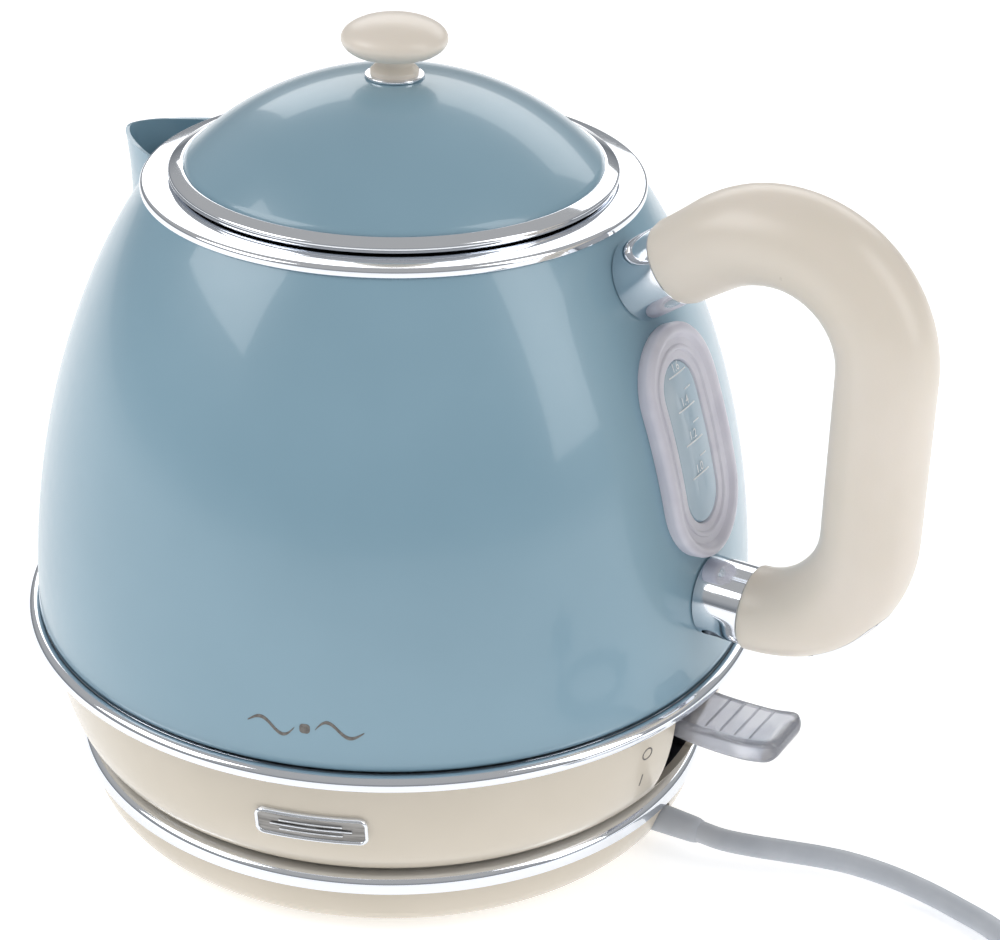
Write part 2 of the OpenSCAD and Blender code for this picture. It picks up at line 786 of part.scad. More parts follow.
module heater_seal() {
    color([0.85, 0.85, 0.83])
    turned([[heater_r - 1 + fit, heater_z - 1],
            [dome_r(heater_z - 1, -sheet) - fit, heater_z - 1],
            [dome_r(heater_z + 7, -sheet) - fit, heater_z + 7],
            [heater_r - 1 + fit, heater_z + 7]]);
}

module heat_spreader() {
    color([0.78, 0.79, 0.80])
    translate([0, 0, heater_z - 1 - 3 - fit]) cylinder(r = spreader_r, h = 3);
}

element_z = heater_z - 1 - 3 - 2 * fit - 3.4;
module heating_element() {
    color(steel)
    translate([0, 0, element_z])
        rotate([0, 0, element_gap]) rotate_extrude(angle = 360 - 2 * element_gap)
            translate([element_r, 0])
            circle(r = 3.4, $fn = 32);
}

module element_terminals() {
    color(steel)
    for (a = [terminal_turn, 360 - terminal_turn])
        rotate([0, 0, a]) translate([element_r, 0, element_z]) {
            cylinder(r = 1.7, h = 3, $fn = 24, center = true);
            translate([0, 0, -9]) cylinder(r = 1.2, h = 9, $fn = 24);
            translate([-0.4, -3, -15]) cube([0.8, 6, 6.4]);
        }
}

module control_housing() {
    wall = 2.4;
    top_z = control_z + control_h;
    cap_z = turret_top_z + 0.8;
    color(black)
    difference() {
        union() {
            turned([[socket_r, control_z], [control_r, control_z], [control_r, top_z],
                    [control_r - wall, top_z], [control_r - wall, control_z + wall],
                    [socket_r + 2, control_z + wall], [socket_r + 2, cap_z + 2], [0, cap_z + 2],
                    [0, cap_z], [socket_r, cap_z]]);
            for (a = [60:120:300])
                rotate([0, 0, a]) translate([control_r + 3, 0, top_z - 4])
                    cylinder(r = 4.5, h = 4, $fn = 48);
        }
        for (a = [60:120:300])
            rotate([0, 0, a]) translate([lug_screw_place, 0, top_z - 4 - past])
                cylinder(r = screw_r, h = 4 + 2 * past, $fn = 24);
    }
}

module control_contacts() {
    color(brass) {
        translate([0, 0, insert_z + 3])
            cylinder(r = live_pin_r, h = turret_top_z + 0.7 - insert_z - 3, $fn = 32);
        translate([0, 0, insert_z + 3]) sphere(r = live_pin_r, $fn = 32);
        band(neutral_r - 0.4, neutral_r + 0.4, turret_top_z - 7, turret_top_z + 0.7);
    }
}

module bimetal_disc() {
    color(steel)
    translate([0, 0, control_z + control_h + 0.3])
        turned([[0, 0.5], [9, 0], [9, 0.5], [0, 1.0]]);
}

module control_screws() {
    color(steel)
    for (a = [60:120:300])
        rotate([0, 0, a]) translate([lug_screw_place, 0, control_z + control_h - 4])
            pan_screw(screw_r - fit, 8.8, 2.6, 1.6);
}

module steam_tube() {
    color([0.85, 0.85, 0.83])
    rotate([0, 0, tube_turn]) translate([tube_place, 0, heater_z - 14])
        difference() {
            cylinder(r = tube_r, h = mouth_z - 2 - heater_z, $fn = 32);
            translate([0, 0, -past]) cylinder(r = tube_r - 1, h = body_h, $fn = 32);
        }
}

module indicator_lamp() {
    color([1, 0.55, 0.25])
    translate([well_x - 12, 0, pivot_z]) rotate([0, 90, 0]) {
        cylinder(r = 2.5, h = 8, $fn = 32);
        translate([0, 0, 8]) sphere(r = 2.5, $fn = 32);
    }
}

// ---- jug: window ----

module window_bezel() {
    mid_w = bezel_w - 2 * bezel_lip;
    lip_z0 = bezel_z0 + bezel_lip;
    lip_z1 = bezel_z1 - bezel_lip;
    color([0.86, 0.84, 0.88]) {
        intersection() {
            dome_skin(0.05, bezel_proud, bezel_z0 - 4, bezel_z1 + 4);
            along_x(jug_r * 0.5, jug_r + 20)
                difference() {
                    upright_slot(bezel_w, bezel_z0, bezel_z1);
                    upright_slot(mid_w, lip_z0, lip_z1);
                }
        }
        intersection() {
            dome_skin(0.05, step_proud, bezel_z0 - 4, bezel_z1 + 4);
            along_x(jug_r * 0.5, jug_r + 20)
                difference() {
                    upright_slot(mid_w + 0.1, lip_z0 - 0.05, lip_z1 + 0.05);
                    upright_slot(lens_w + 0.2, lip_z0 + 5, lip_z1 - 5);
                }
        }
        intersection() {
            dome_skin(-sheet - sleeve_in, 0.2, bezel_z0 - 4, bezel_z1 + 4);
            along_x(jug_r * 0.5, jug_r + 20)
                difference() {
                    upright_slot(sleeve_w, lip_z0 + 3.2, lip_z1 - 3.2);
                    upright_slot(lens_w + 0.2, lip_z0 + 5, lip_z1 - 5);
                }
        }
    }
}

module window_lens() {
    color([0.80, 0.86, 0.90])
    intersection() {
        dome_skin(-sheet - sleeve_in + 0.4, 0.8, bezel_z0 - 4, bezel_z1 + 4);
        along_x(jug_r * 0.5, jug_r + 20)
            upright_slot(lens_w, bezel_z0 + bezel_lip + 5.1, bezel_z1 - bezel_lip - 5.1);
    }
}

module window_seal() {
    color([0.85, 0.85, 0.83])
    intersection() {
        dome_skin(-sheet - 2, -sheet - fit, bezel_z0 - 4, bezel_z1 + 4);
        along_x(jug_r * 0.5, jug_r + 20)
            difference() {
                upright_slot(sleeve_w + 5, bezel_z0 + bezel_lip + 0.6, bezel_z1 - bezel_lip - 0.6);
                upright_slot(sleeve_w + 0.2, bezel_z0 + bezel_lip + 3.1, bezel_z1 - bezel_lip - 3.1);
            }
    }
}

// ---- jug: handle ----

// The handle's centre line, from a place on the lower axis to a place on the upper one
function grip_path(low_x, high_run) = concat(
    [[low_x, 0, ferrule_z]],
    [for (p = arc(bend_x, low_bend_z, grip_bend, -90, 0, 11)) [p[0], 0, p[1]]],
    [for (p = arc(bend_x, top_bend_z, grip_bend, 0, 90 + upper_tilt, 14)) [p[0], 0, p[1]]],
    [[upper_foot_x + high_run * cos(upper_tilt), 0, upper_foot_z + high_run * sin(upper_tilt)]]);

// The grip swells from its ends to its middle
function grip_radii(path) = [for (i = [0:len(path) - 1])
    grip_end_r + (grip_r - grip_end_r) * min(1, sin(180 * i / (len(path) - 1)) * 1.9)];

module handle_bar(low_x, high_run, radii, sides) {
    swept_tube(grip_path(low_x, high_run), radii, sides, [0, 1, 0]);
}

plug_slant = 48;
// The oval inset on the lower bend, grown by gap
module plug_prism(gap) {
    translate([bend_x, 0, low_bend_z]) rotate([0, plug_slant, 0])
        translate([grip_bend + grip_r - 3.2, 0, 0]) rotate([0, 90, 0])
            linear_extrude(6) {
                for (s = [-1, 1]) translate([s * 9, 0]) circle(r = 4.4 + gap, $fn = 32);
                square([18, 8.8 + 2 * gap], center = true);
            }
}

module handle_grip() {
    path = grip_path(bend_x - fit, ferrule_len);
    color(ivory)
    difference() {
        swept_tube(path, grip_radii(path), 32, [0, 1, 0]);
        handle_bar(bend_x - past, ferrule_len - past, core_r + 0.2, 16);
        plug_prism(0.15);
    }
}

module handle_core() {
    color([0.9, 0.9, 0.88])
        handle_bar(dome_r(ferrule_z) + stud_len + fit, stud_len + fit, core_r, 16);
}

module ferrule_lower() {
    color(chrome)
    difference() {
        translate([dome_r(ferrule_z) - 6, 0, ferrule_z]) rotate([0, 90, 0])
            cylinder(r = ferrule_r, h = bend_x - 2 * fit - dome_r(ferrule_z) + 6, $fn = 64);
        dome_core(0.1);
        translate([dome_r(ferrule_z) - 8, 0, ferrule_z]) rotate([0, 90, 0])
            cylinder(r = stud_r + fit, h = 40, $fn = 48);
        at_lower_screw() translate([0, 0, -ferrule_r - past])
            cylinder(r = 3.1, h = ferrule_r + past, $fn = 32);
    }
}

module ferrule_upper() {
    color(chrome)
    difference() {
        on_upper_axis() translate([0, 0, -8])
            cylinder(r = ferrule_r, h = 8 + ferrule_len - fit, $fn = 64);
        dome_core(0.1);
        on_upper_axis() translate([0, 0, -10])
            cylinder(r = stud_r + fit, h = 40, $fn = 48);
        on_upper_axis() translate([0, 0, 5]) rotate([0, 90, 0])
            cylinder(r = 3.1, h = ferrule_r + past, $fn = 32);
    }
}

module handle_screws() {
    color(rubber) {
        at_lower_screw() translate([0, 0, -stud_r - fit])
            pan_screw(screw_r - fit, 5.5, 2.8, 1.8);
        on_upper_axis() translate([0, 0, 5]) rotate([0, -90, 0]) translate([0, 0, -stud_r - fit])
            pan_screw(screw_r - fit, 5.5, 2.8, 1.8);
    }
}

module grip_plug() {
    path = grip_path(bend_x - fit, ferrule_len);
    color(ivory)
    intersection() {
        plug_prism(0);
        swept_tube(path, [for (r = grip_radii(path)) r - 0.3], 32, [0, 1, 0]);
    }
}

// ---- jug: badge and lever pin ----

badge_turn = -70;
badge_w = 28.5;
badge_h = 11.5;
badge_z = ring_z - 17.2;
badge_proud = 1.5;

// The band on the skirt that a badge piece is cut from
module badge_slab(off0, off1, w0, h0, w1, h1, corner) {
    intersection() {
        turned(concat(skirt_line(off1), reversed(skirt_line(off0))));
        rotate([0, 0, badge_turn])
            along_x(jug_r * 0.5, jug_r + 10)
                translate([0, badge_z])
                    difference() {
                        round_box(w1, h1, corner);
                        if (w0 > 0) round_box(w0, h0, corner - 0.8);
                    }
    }
}

module badge_frame() {
    color(chrome)
        badge_slab(0.05, badge_proud, badge_w - 2.4, badge_h - 2.4, badge_w, badge_h, 2.6);
}

module badge_plate() {
    color([0.55, 0.54, 0.53])
        badge_slab(0.05, badge_proud - 0.6, 0, 0, badge_w - 2.6, badge_h - 2.6, 1.8);
}

module lever_pin() {
    color(steel)
    translate([pivot_x, 0, pivot_z]) rotate([90, 0, 0])
        cylinder(r = lever_pin_r, h = slot_w + 2 * well_wall + 1, center = true, $fn = 32);
}

// ---- switch lever ----

module switch_lever() {
    hub_r = 4.2;
    hub_w = lever_w;
    dip = 1.6;
    top_z = pivot_z + 2.6;
    tip_round = 2.6;
    // the side view: a bar that dips a little and lifts again at its rounded tip
    upper = [for (i = [0:10]) let (u = i / 10)
        [pivot_x + u * (lever_tip_x - tip_round - pivot_x), top_z - dip * sin(180 * u) - 1.2 * u]];
    lower = [for (p = reversed(upper)) [p[0], p[1] - lever_t]];
    tip = arc(lever_tip_x - tip_round, upper[10][1] - lever_t / 2, lever_t / 2, 75, -75, 6);
    color(smoke)
    difference() {
        union() {
            intersection() {
                translate([0, lever_w / 2, 0]) rotate([90, 0, 0])
                    linear_extrude(lever_w) polygon(concat(upper, tip, lower));
                // the plan view, with rounded corners at the tip
                translate([0, 0, pivot_z - 20]) linear_extrude(40) {
                    translate([pivot_x, -lever_w / 2])
                        square([lever_tip_x - pivot_x - 5, lever_w]);
                    translate([lever_tip_x - 10, 0]) round_box(20, lever_w, 4.5);
                }
            }
            translate([pivot_x, 0, pivot_z]) rotate([90, 0, 0])
                cylinder(r = hub_r, h = hub_w, center = true, $fn = 48);
        }
        translate([pivot_x, 0, pivot_z]) rotate([90, 0, 0])
            cylinder(r = lever_pin_r + 0.06, h = hub_w + 2, center = true, $fn = 32);
    }
}

// ---- lid ----

// The lid's dome outline from its edge to its middle, lowered by off
function lid_line(off, r_edge, steps = 14) =
    [for (i = [0:steps]) let (r = r_edge * (1 - i / steps))
        [r, lid_top_z - lid_curve_r + sqrt(pow(lid_curve_r - off, 2) - r * r)]];

module lid_shell() {
    color(blue)
    difference() {
        turned(concat(lid_line(0, lid_r - 3), reversed(lid_line(lid_sheet, lid_r - 3))));
        translate([0, 0, lid_top_z - 5]) cylinder(r = 2.2, h = 10, $fn = 32);
    }
}

module lid_rim() {
    color(chrome)
    turned(concat(
        [[lid_r - 6, lid_z - 0.2], [lid_r - 0.2, lid_z - 0.2]],
        arc(lid_r - 0.2, lid_z + 0.9, 1.1, -90, 60),
        [[lid_r - 2.4, lid_z + 3], [lid_r - 2.9, lid_z + 3], [lid_r - 2.9, lid_z + 1],
         [lid_r - 6, lid_z + 1]]));
}

module lid_inner() {
    color(steel)
    difference() {
        turned([[0, lid_z + 0.4], [lid_r - 6.1, lid_z + 0.4], [lid_r - 6.1, lid_z - 0.4],
                [lid_skirt_r, lid_z - 0.4], [lid_skirt_r, mouth_z - 6],
                [lid_skirt_r - 1.4, mouth_z - 6], [lid_skirt_r - 1.4, lid_z - 0.8],
                [0, lid_z - 0.8]]);
        translate([0, 0, lid_z - 5]) cylinder(r = 2.2, h = 10, $fn = 32);
    }
}

module lid_seal() {
    color([0.85, 0.85, 0.83]) band(lid_skirt_r + fit, collar_in_r - 0.4, mouth_z - 5, mouth_z - 2);
}

module lid_knob() {
    foot_z = lid_top_z + 0.15;
    top_z = foot_z + knob_h;
    color(ivory)
    difference() {
        turned(concat(
            [[0, foot_z], [6.2, foot_z], [6.2, foot_z + 1.6], [4.6, foot_z + 3.2],
             [4.6, foot_z + 4.2]],
            [for (i = [0:10]) let (a = -60 + 150 * i / 10)
                [knob_d / 2 * cos(a), top_z - 5.6 + 5.6 * sin(a)]],
            [[0, top_z]]));
        translate([0, 0, foot_z - past]) cylinder(r = 1.8, h = 9, $fn = 24);
    }
}

module knob_screw() {
    color(steel)
    translate([0, 0, lid_z - 0.8]) pan_screw(1.7, lid_top_z - lid_z + 7, 4, 2);
}

base_shell();
base_plate();
base_ring();
foot_ring();
base_screws();
connector_turret();
connector_insert();
turret_contacts();
turret_screws();
cord_clamp();
clamp_screws();
base_leads();
strain_relief();
mains_cord();
cord_coil();
cord_tie();
plug_lead();
plug_body();
plug_pins();
plug_earth_clips();
body_shell();
handle_studs();
spout();
filter_frame();
filter_mesh();
top_collar();
trim_ring();
skirt();
bottom_cover();
bottom_screws();
heater_plate();
heat_spreader();
heating_element();
element_terminals();
heater_seal();
control_housing();
control_contacts();
bimetal_disc();
control_screws();
steam_tube();
indicator_lamp();
window_bezel();
window_lens();
window_seal();
handle_grip();
handle_core();
ferrule_lower();
ferrule_upper();
handle_screws();
grip_plug();
badge_frame();
badge_plate();
lever_pin();
switch_lever();
lid_shell();
lid_rim();
lid_inner();
lid_seal();
lid_knob();
knob_screw();
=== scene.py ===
import bpy
import bmesh
from math import acos, asin, atan2, cos, pi, radians, sin, sqrt, tan
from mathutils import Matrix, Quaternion, Vector


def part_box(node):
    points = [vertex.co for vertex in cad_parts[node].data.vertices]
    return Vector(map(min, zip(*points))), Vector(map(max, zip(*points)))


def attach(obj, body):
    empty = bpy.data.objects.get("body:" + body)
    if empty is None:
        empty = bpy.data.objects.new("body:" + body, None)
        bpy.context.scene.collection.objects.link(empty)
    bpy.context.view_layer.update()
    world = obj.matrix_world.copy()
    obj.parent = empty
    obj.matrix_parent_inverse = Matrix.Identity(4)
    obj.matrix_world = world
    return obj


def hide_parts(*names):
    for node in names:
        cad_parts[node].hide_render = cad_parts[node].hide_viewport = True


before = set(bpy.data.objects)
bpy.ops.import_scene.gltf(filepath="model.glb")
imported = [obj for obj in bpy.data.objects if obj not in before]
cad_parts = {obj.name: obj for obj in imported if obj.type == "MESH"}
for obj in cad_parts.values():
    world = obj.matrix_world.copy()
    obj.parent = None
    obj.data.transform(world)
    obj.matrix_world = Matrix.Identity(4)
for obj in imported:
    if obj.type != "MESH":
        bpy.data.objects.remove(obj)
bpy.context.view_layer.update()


# ---- Camera, floor and studio light ----
# The kettle stands on a plain white table under two large soft boxes.
# The camera looks down on it from the handle's side, with a long lens.
scene = bpy.context.scene
camera_place = Vector((0.3179, -0.4895, 0.395))
camera_aim = Vector((0.0240, 0.0156, 0.0914))
camera_roll = radians(1.23)
camera_data = bpy.data.cameras.new("camera")
camera_data.lens = 86.8
camera_data.sensor_width = 36
camera_data.clip_start = 0.01
camera = bpy.data.objects.new("camera", camera_data)
camera.location = camera_place
camera.rotation_mode = "QUATERNION"
level_view = (camera_aim - camera_place).to_track_quat("-Z", "Y")
camera.rotation_quaternion = level_view @ Quaternion((0, 0, 1), camera_roll)
scene.collection.objects.link(camera)
scene.camera = camera
scene.view_settings.view_transform = "Standard"


def linear(hex_colour):
    """An sRGB hex colour as linear red, green, blue and alpha."""
    channels = [int(hex_colour[i:i + 2], 16) / 255 for i in (1, 3, 5)]
    return [c / 12.92 if c < 0.04045 else ((c + 0.055) / 1.055) ** 2.4 for c in channels] + [1]


def add_node(tree, kind, links=None, **settings):
    """Adds a node. Settings are its properties or its sockets' values by name; links feed it."""
    made = tree.nodes.new(kind)
    for name, value in settings.items():
        socket = made.inputs.get(name.replace("_", " ")) or made.inputs.get(name)
        if hasattr(made, name):
            setattr(made, name, value)
        elif socket is not None:
            socket.default_value = value
    for name, output in (links or {}).items():
        tree.links.new(output, made.inputs[name])
    return made


def soft_box(name, place, aim, size, power, colour="#FFFFFF"):
    light = bpy.data.lights.new(name, "AREA")
    light.shape = "RECTANGLE"
    light.size, light.size_y = size
    light.energy = power
    light.color = linear(colour)[:3]
    lamp = bpy.data.objects.new(name, light)
    lamp.location = place
    lamp.rotation_euler = (Vector(aim) - Vector(place)).to_track_quat("-Z", "Y").to_euler()
    scene.collection.objects.link(lamp)


soft_box("key_box", (-0.9, -0.9, 1.1), (0, 0, 0.1), (1.1, 0.8), 8.8)
soft_box("side_box", (1.1, 0.1, 0.8), (0, 0, 0.1), (0.5, 1.2), 5)
soft_box("back_box", (-0.5, 1.3, 0.9), (0, 0, 0.1), (2.0, 0.7), 7.5)

# The room: bright overhead, a darker belt at the height where walls meet the table
world = bpy.data.worlds.new("studio")
scene.world = world
world.use_nodes = True
room = world.node_tree
room.nodes.clear()
direction = add_node(room, "ShaderNodeTexCoord")
height = add_node(room, "ShaderNodeSeparateXYZ", {"Vector": direction.outputs["Generated"]})
belt = add_node(room, "ShaderNodeValToRGB", {"Fac": height.outputs["Z"]})
for element, up, grey in zip(belt.color_ramp.elements, (0.0, 0.55), ("#E9ECF0", "#FFFFFF")):
    element.position = up
    element.color = linear(grey)
for up, grey in ((0.07, "#ABB1B8"), (0.16, "#D0D4D9"), (0.30, "#F4F6F8")):
    belt.color_ramp.elements.new(up).color = linear(grey)
sky = add_node(room, "ShaderNodeBackground", {"Color": belt.outputs["Color"]}, Strength=0.45)
add_node(room, "ShaderNodeOutputWorld", {"Surface": sky.outputs["Background"]})


def new_material(name, base, roughness, **settings):
    """A material with one principled shader. Settings are sockets of the shader by name."""
    made = bpy.data.materials.new(name)
    made.use_nodes = True
    tree = made.node_tree
    tree.nodes.clear()
    shader = add_node(tree, "ShaderNodeBsdfPrincipled", Roughness=roughness)
    shader.name = "shader"
    shader.inputs["Base Color"].default_value = linear(base)
    for socket, value in settings.items():
        shader.inputs[socket.replace("_", " ")].default_value = value
    add_node(tree, "ShaderNodeOutputMaterial", {"Surface": shader.outputs["BSDF"]})
    made.diffuse_color = linear(base)
    return made


def shader_socket(material, name):
    return material.node_tree.nodes["shader"].inputs[name]


def two_tone(material, pattern, dark, light):
    """Colours a material from dark to light along a pattern's value."""
    tree = material.node_tree
    ramp = add_node(tree, "ShaderNodeValToRGB", {"Fac": pattern})
    for element, place, tone in zip(ramp.color_ramp.elements, (0.35, 0.65), (dark, light)):
        element.position = place
        element.color = linear(tone)
    tree.links.new(ramp.outputs["Color"], shader_socket(material, "Base Color"))


def roughness_range(material, pattern, low, high):
    """Runs a material's roughness from low to high along a pattern's value."""
    tree = material.node_tree
    spread = add_node(tree, "ShaderNodeMapRange", {"Value": pattern}, To_Min=low, To_Max=high)
    tree.links.new(spread.outputs["Result"], shader_socket(material, "Roughness"))


def relief(material, pattern, depth, strength=0.5):
    """Raises the surface by a pattern, depth in metres."""
    tree = material.node_tree
    bump = add_node(tree, "ShaderNodeBump", {"Height": pattern}, Strength=strength, Distance=depth)
    tree.links.new(bump.outputs["Normal"], shader_socket(material, "Normal"))


def grain(material, size, detail=2.0, stretch=(1, 1, 1)):
    """Noise whose grains are about size metres across, on the piece's own coordinates."""
    tree = material.node_tree
    place = add_node(tree, "ShaderNodeTexCoord")
    fit = add_node(tree, "ShaderNodeMapping", {"Vector": place.outputs["Object"]})
    fit.inputs["Scale"].default_value = stretch
    noise = add_node(tree, "ShaderNodeTexNoise", {"Vector": fit.outputs["Vector"]},
                     Scale=1 / size, Detail=detail)
    return noise.outputs["Fac"]


# Seamless white table top: matt laminate, with a faint cloudiness
table_white = new_material("matt_white_laminate", "#F4F5F7", 0.62, Emission_Strength=0.46)
two_tone(table_white, grain(table_white, 0.4), "#F2F3F5", "#F8F9FA")
shader_socket(table_white, "Emission Color").default_value = linear("#FFFFFF")
table_mesh = bpy.data.meshes.new("table")
table_half = 4.0
table_z = -0.0004
table_mesh.from_pydata([(sx * table_half, sy * table_half, table_z)
                        for sx, sy in ((-1, -1), (1, -1), (1, 1), (-1, 1))], [], [(0, 1, 2, 3)])
table_top = bpy.data.objects.new("table", table_mesh)
table_mesh.materials.append(table_white)
scene.collection.objects.link(table_top)


# ---- Mains lead ----
# A 6 mm round PVC lead with a light grey jacket, 0.7 m long. It leaves the base through a
# tapered sleeve, lies on the table, and its spare length is wound flat and held by a black tie.
mm = 0.001
lead_d = 6.0 * mm
lead_route = [(98, 0, 9), (105, 0, 9), (113, 1.8, 9), (122, 5.4, 8.4), (130, 9.2, 7.4),
              (138, 12.4, 6.2), (148, 14.4, 4.8), (158, 14.6, 3.7), (168, 13, 3.1), (178, 10, 3.1),
              (186, 5, 3.1), (192.5, -2, 3.1), (196, -9.5, 3.1), (198.4, -19, 3.1)]
plug_end_route = [(264, -70.5, 10), (271, -71.4, 10.4), (278, -73.6, 11.4), (284, -75, 12),
                  (290, -75, 12)]
coil_centre = Vector((240, -29, 0))
coil_outer = 41.2
coil_inner = 34.5
coil_low = 3.1
coil_high = 9.4


def smooth(t):
    t = min(1, max(0, t))
    return t * t * (3 - 2 * t)


def coil_points(start=172.0, stop=990.0, per_turn=24):
    """The wound turns: in on the table, up beside the first turn, and out again on top of it."""
    points = []
    count = round((stop - start) / 360 * per_turn)
    for i in range(1, count):
        turn = start + (stop - start) * i / count
        radius = coil_outer
        radius -= (coil_outer - coil_inner) * smooth((turn - 200) / 300)
        radius += (coil_outer - coil_inner) * smooth((turn - 640) / 300)
        height = coil_low + (coil_high - coil_low) * smooth((turn - 500) / 140)
        points.append((coil_centre.x + radius * cos(radians(turn)),
                       coil_centre.y + radius * sin(radians(turn)), height))
    return points


def link_piece(name, mesh, body, slot, material, *nodes):
    """Puts a finished mesh in the scene: it rides on a body and stands for CAD nodes."""
    piece = bpy.data.objects.new(name, mesh)
    scene.collection.objects.link(piece)
    if material is not None:
        mesh.materials.clear()
        mesh.materials.append(material)
    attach(piece, body)
    if nodes:
        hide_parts(*nodes)
    return piece


def shade(mesh, sharp=35):
    mesh.shade_smooth()
    mesh.set_sharp_from_angle(angle=radians(sharp))


def finished_mesh(name, mesh_data, sharp=35):
    """A plain mesh of the faces that have been built, shaded smooth up to an angle in degrees."""
    mesh = bpy.data.meshes.new(name)
    mesh_data.to_mesh(mesh)
    mesh_data.free()
    shade(mesh, sharp)
    return mesh


def tube_mesh(name, path, radii, sides=32):
    """A closed round tube along a path in metres, one radius for each point."""
    mesh_data = bmesh.new()
    rings = []
    side = None
    for i, here in enumerate(path):
        ahead = (path[min(i + 1, len(path) - 1)] - path[max(i - 1, 0)]).normalized()
        if side is None:
            side = ahead.cross(Vector((0, 0, 1)) if abs(ahead.z) < 0.9 else Vector((0, 1, 0)))
        side = (side - ahead * side.dot(ahead)).normalized()
        up = side.cross(ahead)
        rings.append([mesh_data.verts.new(here + radii[i] * (cos(2 * pi * k / sides) * side
                                                            + sin(2 * pi * k / sides) * up))
                      for k in range(sides)])
    for low, high in zip(rings, rings[1:]):
        for k in range(sides):
            mesh_data.faces.new((low[k], low[(k + 1) % sides], high[(k + 1) % sides], high[k]))
    for ring in (rings[0], rings[-1]):
        mesh_data.faces.new(ring)
    bmesh.ops.recalc_face_normals(mesh_data, faces=mesh_data.faces)
    return finished_mesh(name, mesh_data)


def curve_through(points, per_span):
    """A smooth curve through points in millimetres, as points in metres."""
    p = [Vector(q) * mm for q in points]
    p = [2 * p[0] - p[1]] + p + [2 * p[-1] - p[-2]]
    found = []
    for i in range(1, len(p) - 2):
        for k in range(per_span):
            t = k / per_span
            a, b, c, d = p[i - 1], p[i], p[i + 1], p[i + 2]
            found.append(0.5 * (2 * b + (c - a) * t + (2 * a - 5 * b + 4 * c - d) * t * t
                                + (3 * b - a - 3 * c + d) * t ** 3))
    return found + [p[-2]]


# PVC jacket, extruded: an even light grey with a fine dull grain and faint shine
lead_pvc = new_material("extruded_grey_pvc", "#BCC1C8", 0.42, IOR=1.53)
two_tone(lead_pvc, grain(lead_pvc, 0.012, 3), "#B6BBC3", "#C1C5CC")
roughness_range(lead_pvc, grain(lead_pvc, 0.004, 2), 0.36, 0.50)
relief(lead_pvc, grain(lead_pvc, 0.0006, 2), 0.00006)

lead_line = curve_through(lead_route + coil_points() + plug_end_route, 4)
lead_length = sum((b - a).length for a, b in zip(lead_line, lead_line[1:]))
lead_mesh = tube_mesh("mains_lead", lead_line, [lead_d / 2] * len(lead_line), 24)
lead = link_piece("mains_lead", lead_mesh, "power_base", "lead_plastic", lead_pvc,
                  "mains_cord", "cord_coil", "plug_lead")


# ---- Plug ----
# A two-pin earthed plug, moulded on the lead in the same grey PVC. It lies on its back with its
# nickel pins up; two brass earth clips sit in the grooves of its sides.
def outline(corners, steps=6):
    """A closed outline of (across, up) in millimetres; a third number rounds that corner."""
    points = []
    for i, corner in enumerate(corners):
        here = Vector(corner[:2])
        radius = corner[2] if len(corner) > 2 else 0
        before = Vector(corners[i - 1][:2]) - here
        after = Vector(corners[(i + 1) % len(corners)][:2]) - here
        if not radius:
            points.append(here)
            continue
        before.normalize()
        after.normalize()
        half = acos(max(-1, min(1, before.dot(after)))) / 2
        centre = here + (before + after).normalized() * radius / sin(half)
        start = here + before * radius / tan(half) - centre
        stop = here + after * radius / tan(half) - centre
        sweep = pi - 2 * half
        for k in range(steps + 1):
            t = k / steps
            points.append(centre + (start * sin((1 - t) * sweep)
                                    + stop * sin(t * sweep)) / sin(sweep))
    return points


def turned_mesh(name, corners, centre=(0, 0, 0), segments=192, steps=6, sharp=35):
    """Turns an outline of (radius, height) in millimetres about the upright axis at centre."""
    points = outline(corners, steps)
    mesh_data = bmesh.new()
    rings = [[mesh_data.verts.new((centre[0] + p.x * mm * cos(2 * pi * k / segments),
                                   centre[1] + p.x * mm * sin(2 * pi * k / segments),
                                   centre[2] + p.y * mm)) for k in range(segments)]
             for p in points]
    for i, low in enumerate(rings):
        high = rings[(i + 1) % len(rings)]
        if max(points[i].x, points[(i + 1) % len(rings)].x) < 1e-6:
            continue
        for k in range(segments):
            mesh_data.faces.new((low[k], low[(k + 1) % segments],
                                 high[(k + 1) % segments], high[k]))
    bmesh.ops.remove_doubles(mesh_data, verts=mesh_data.verts, dist=1e-7)
    bmesh.ops.recalc_face_normals(mesh_data, faces=mesh_data.faces)
    return finished_mesh(name, mesh_data, sharp)


def bake_modifiers(piece, sharp=35):
    """Makes what the modifiers show the piece's own mesh."""
    bpy.context.view_layer.update()
    ready = piece.evaluated_get(bpy.context.evaluated_depsgraph_get())
    mesh = bpy.data.meshes.new_from_object(ready)
    materials = list(piece.data.materials)
    piece.modifiers.clear()
    piece.data = mesh
    mesh.materials.clear()
    for material in materials:
        mesh.materials.append(material)
    shade(mesh, sharp)


def cut(mesh, *tools, operation="DIFFERENCE", sharp=35):
    """Cuts tool meshes out of a mesh, and returns the result."""
    piece = bpy.data.objects.new("cut", mesh)
    scene.collection.objects.link(piece)
    helpers = []
    for tool in tools:
        helper = bpy.data.objects.new("tool", tool)
        scene.collection.objects.link(helper)
        helpers.append(helper)
        step = piece.modifiers.new("cut", "BOOLEAN")
        step.object = helper
        step.operation = operation
        step.solver = "EXACT"
    bake_modifiers(piece, sharp)
    result = piece.data
    for helper in helpers + [piece]:
        bpy.data.objects.remove(helper)
    return result


def moved(mesh, turn_axis="Z", degrees_turned=0, place=(0, 0, 0)):
    """Turns a mesh about an axis through the origin, and then moves it."""
    turn = Quaternion({"X": (1, 0, 0), "Y": (0, 1, 0), "Z": (0, 0, 1)}[turn_axis],
                      radians(degrees_turned))
    matrix = turn.to_matrix().to_4x4()
    matrix.translation = Vector(place)
    mesh.transform(matrix)
    return mesh


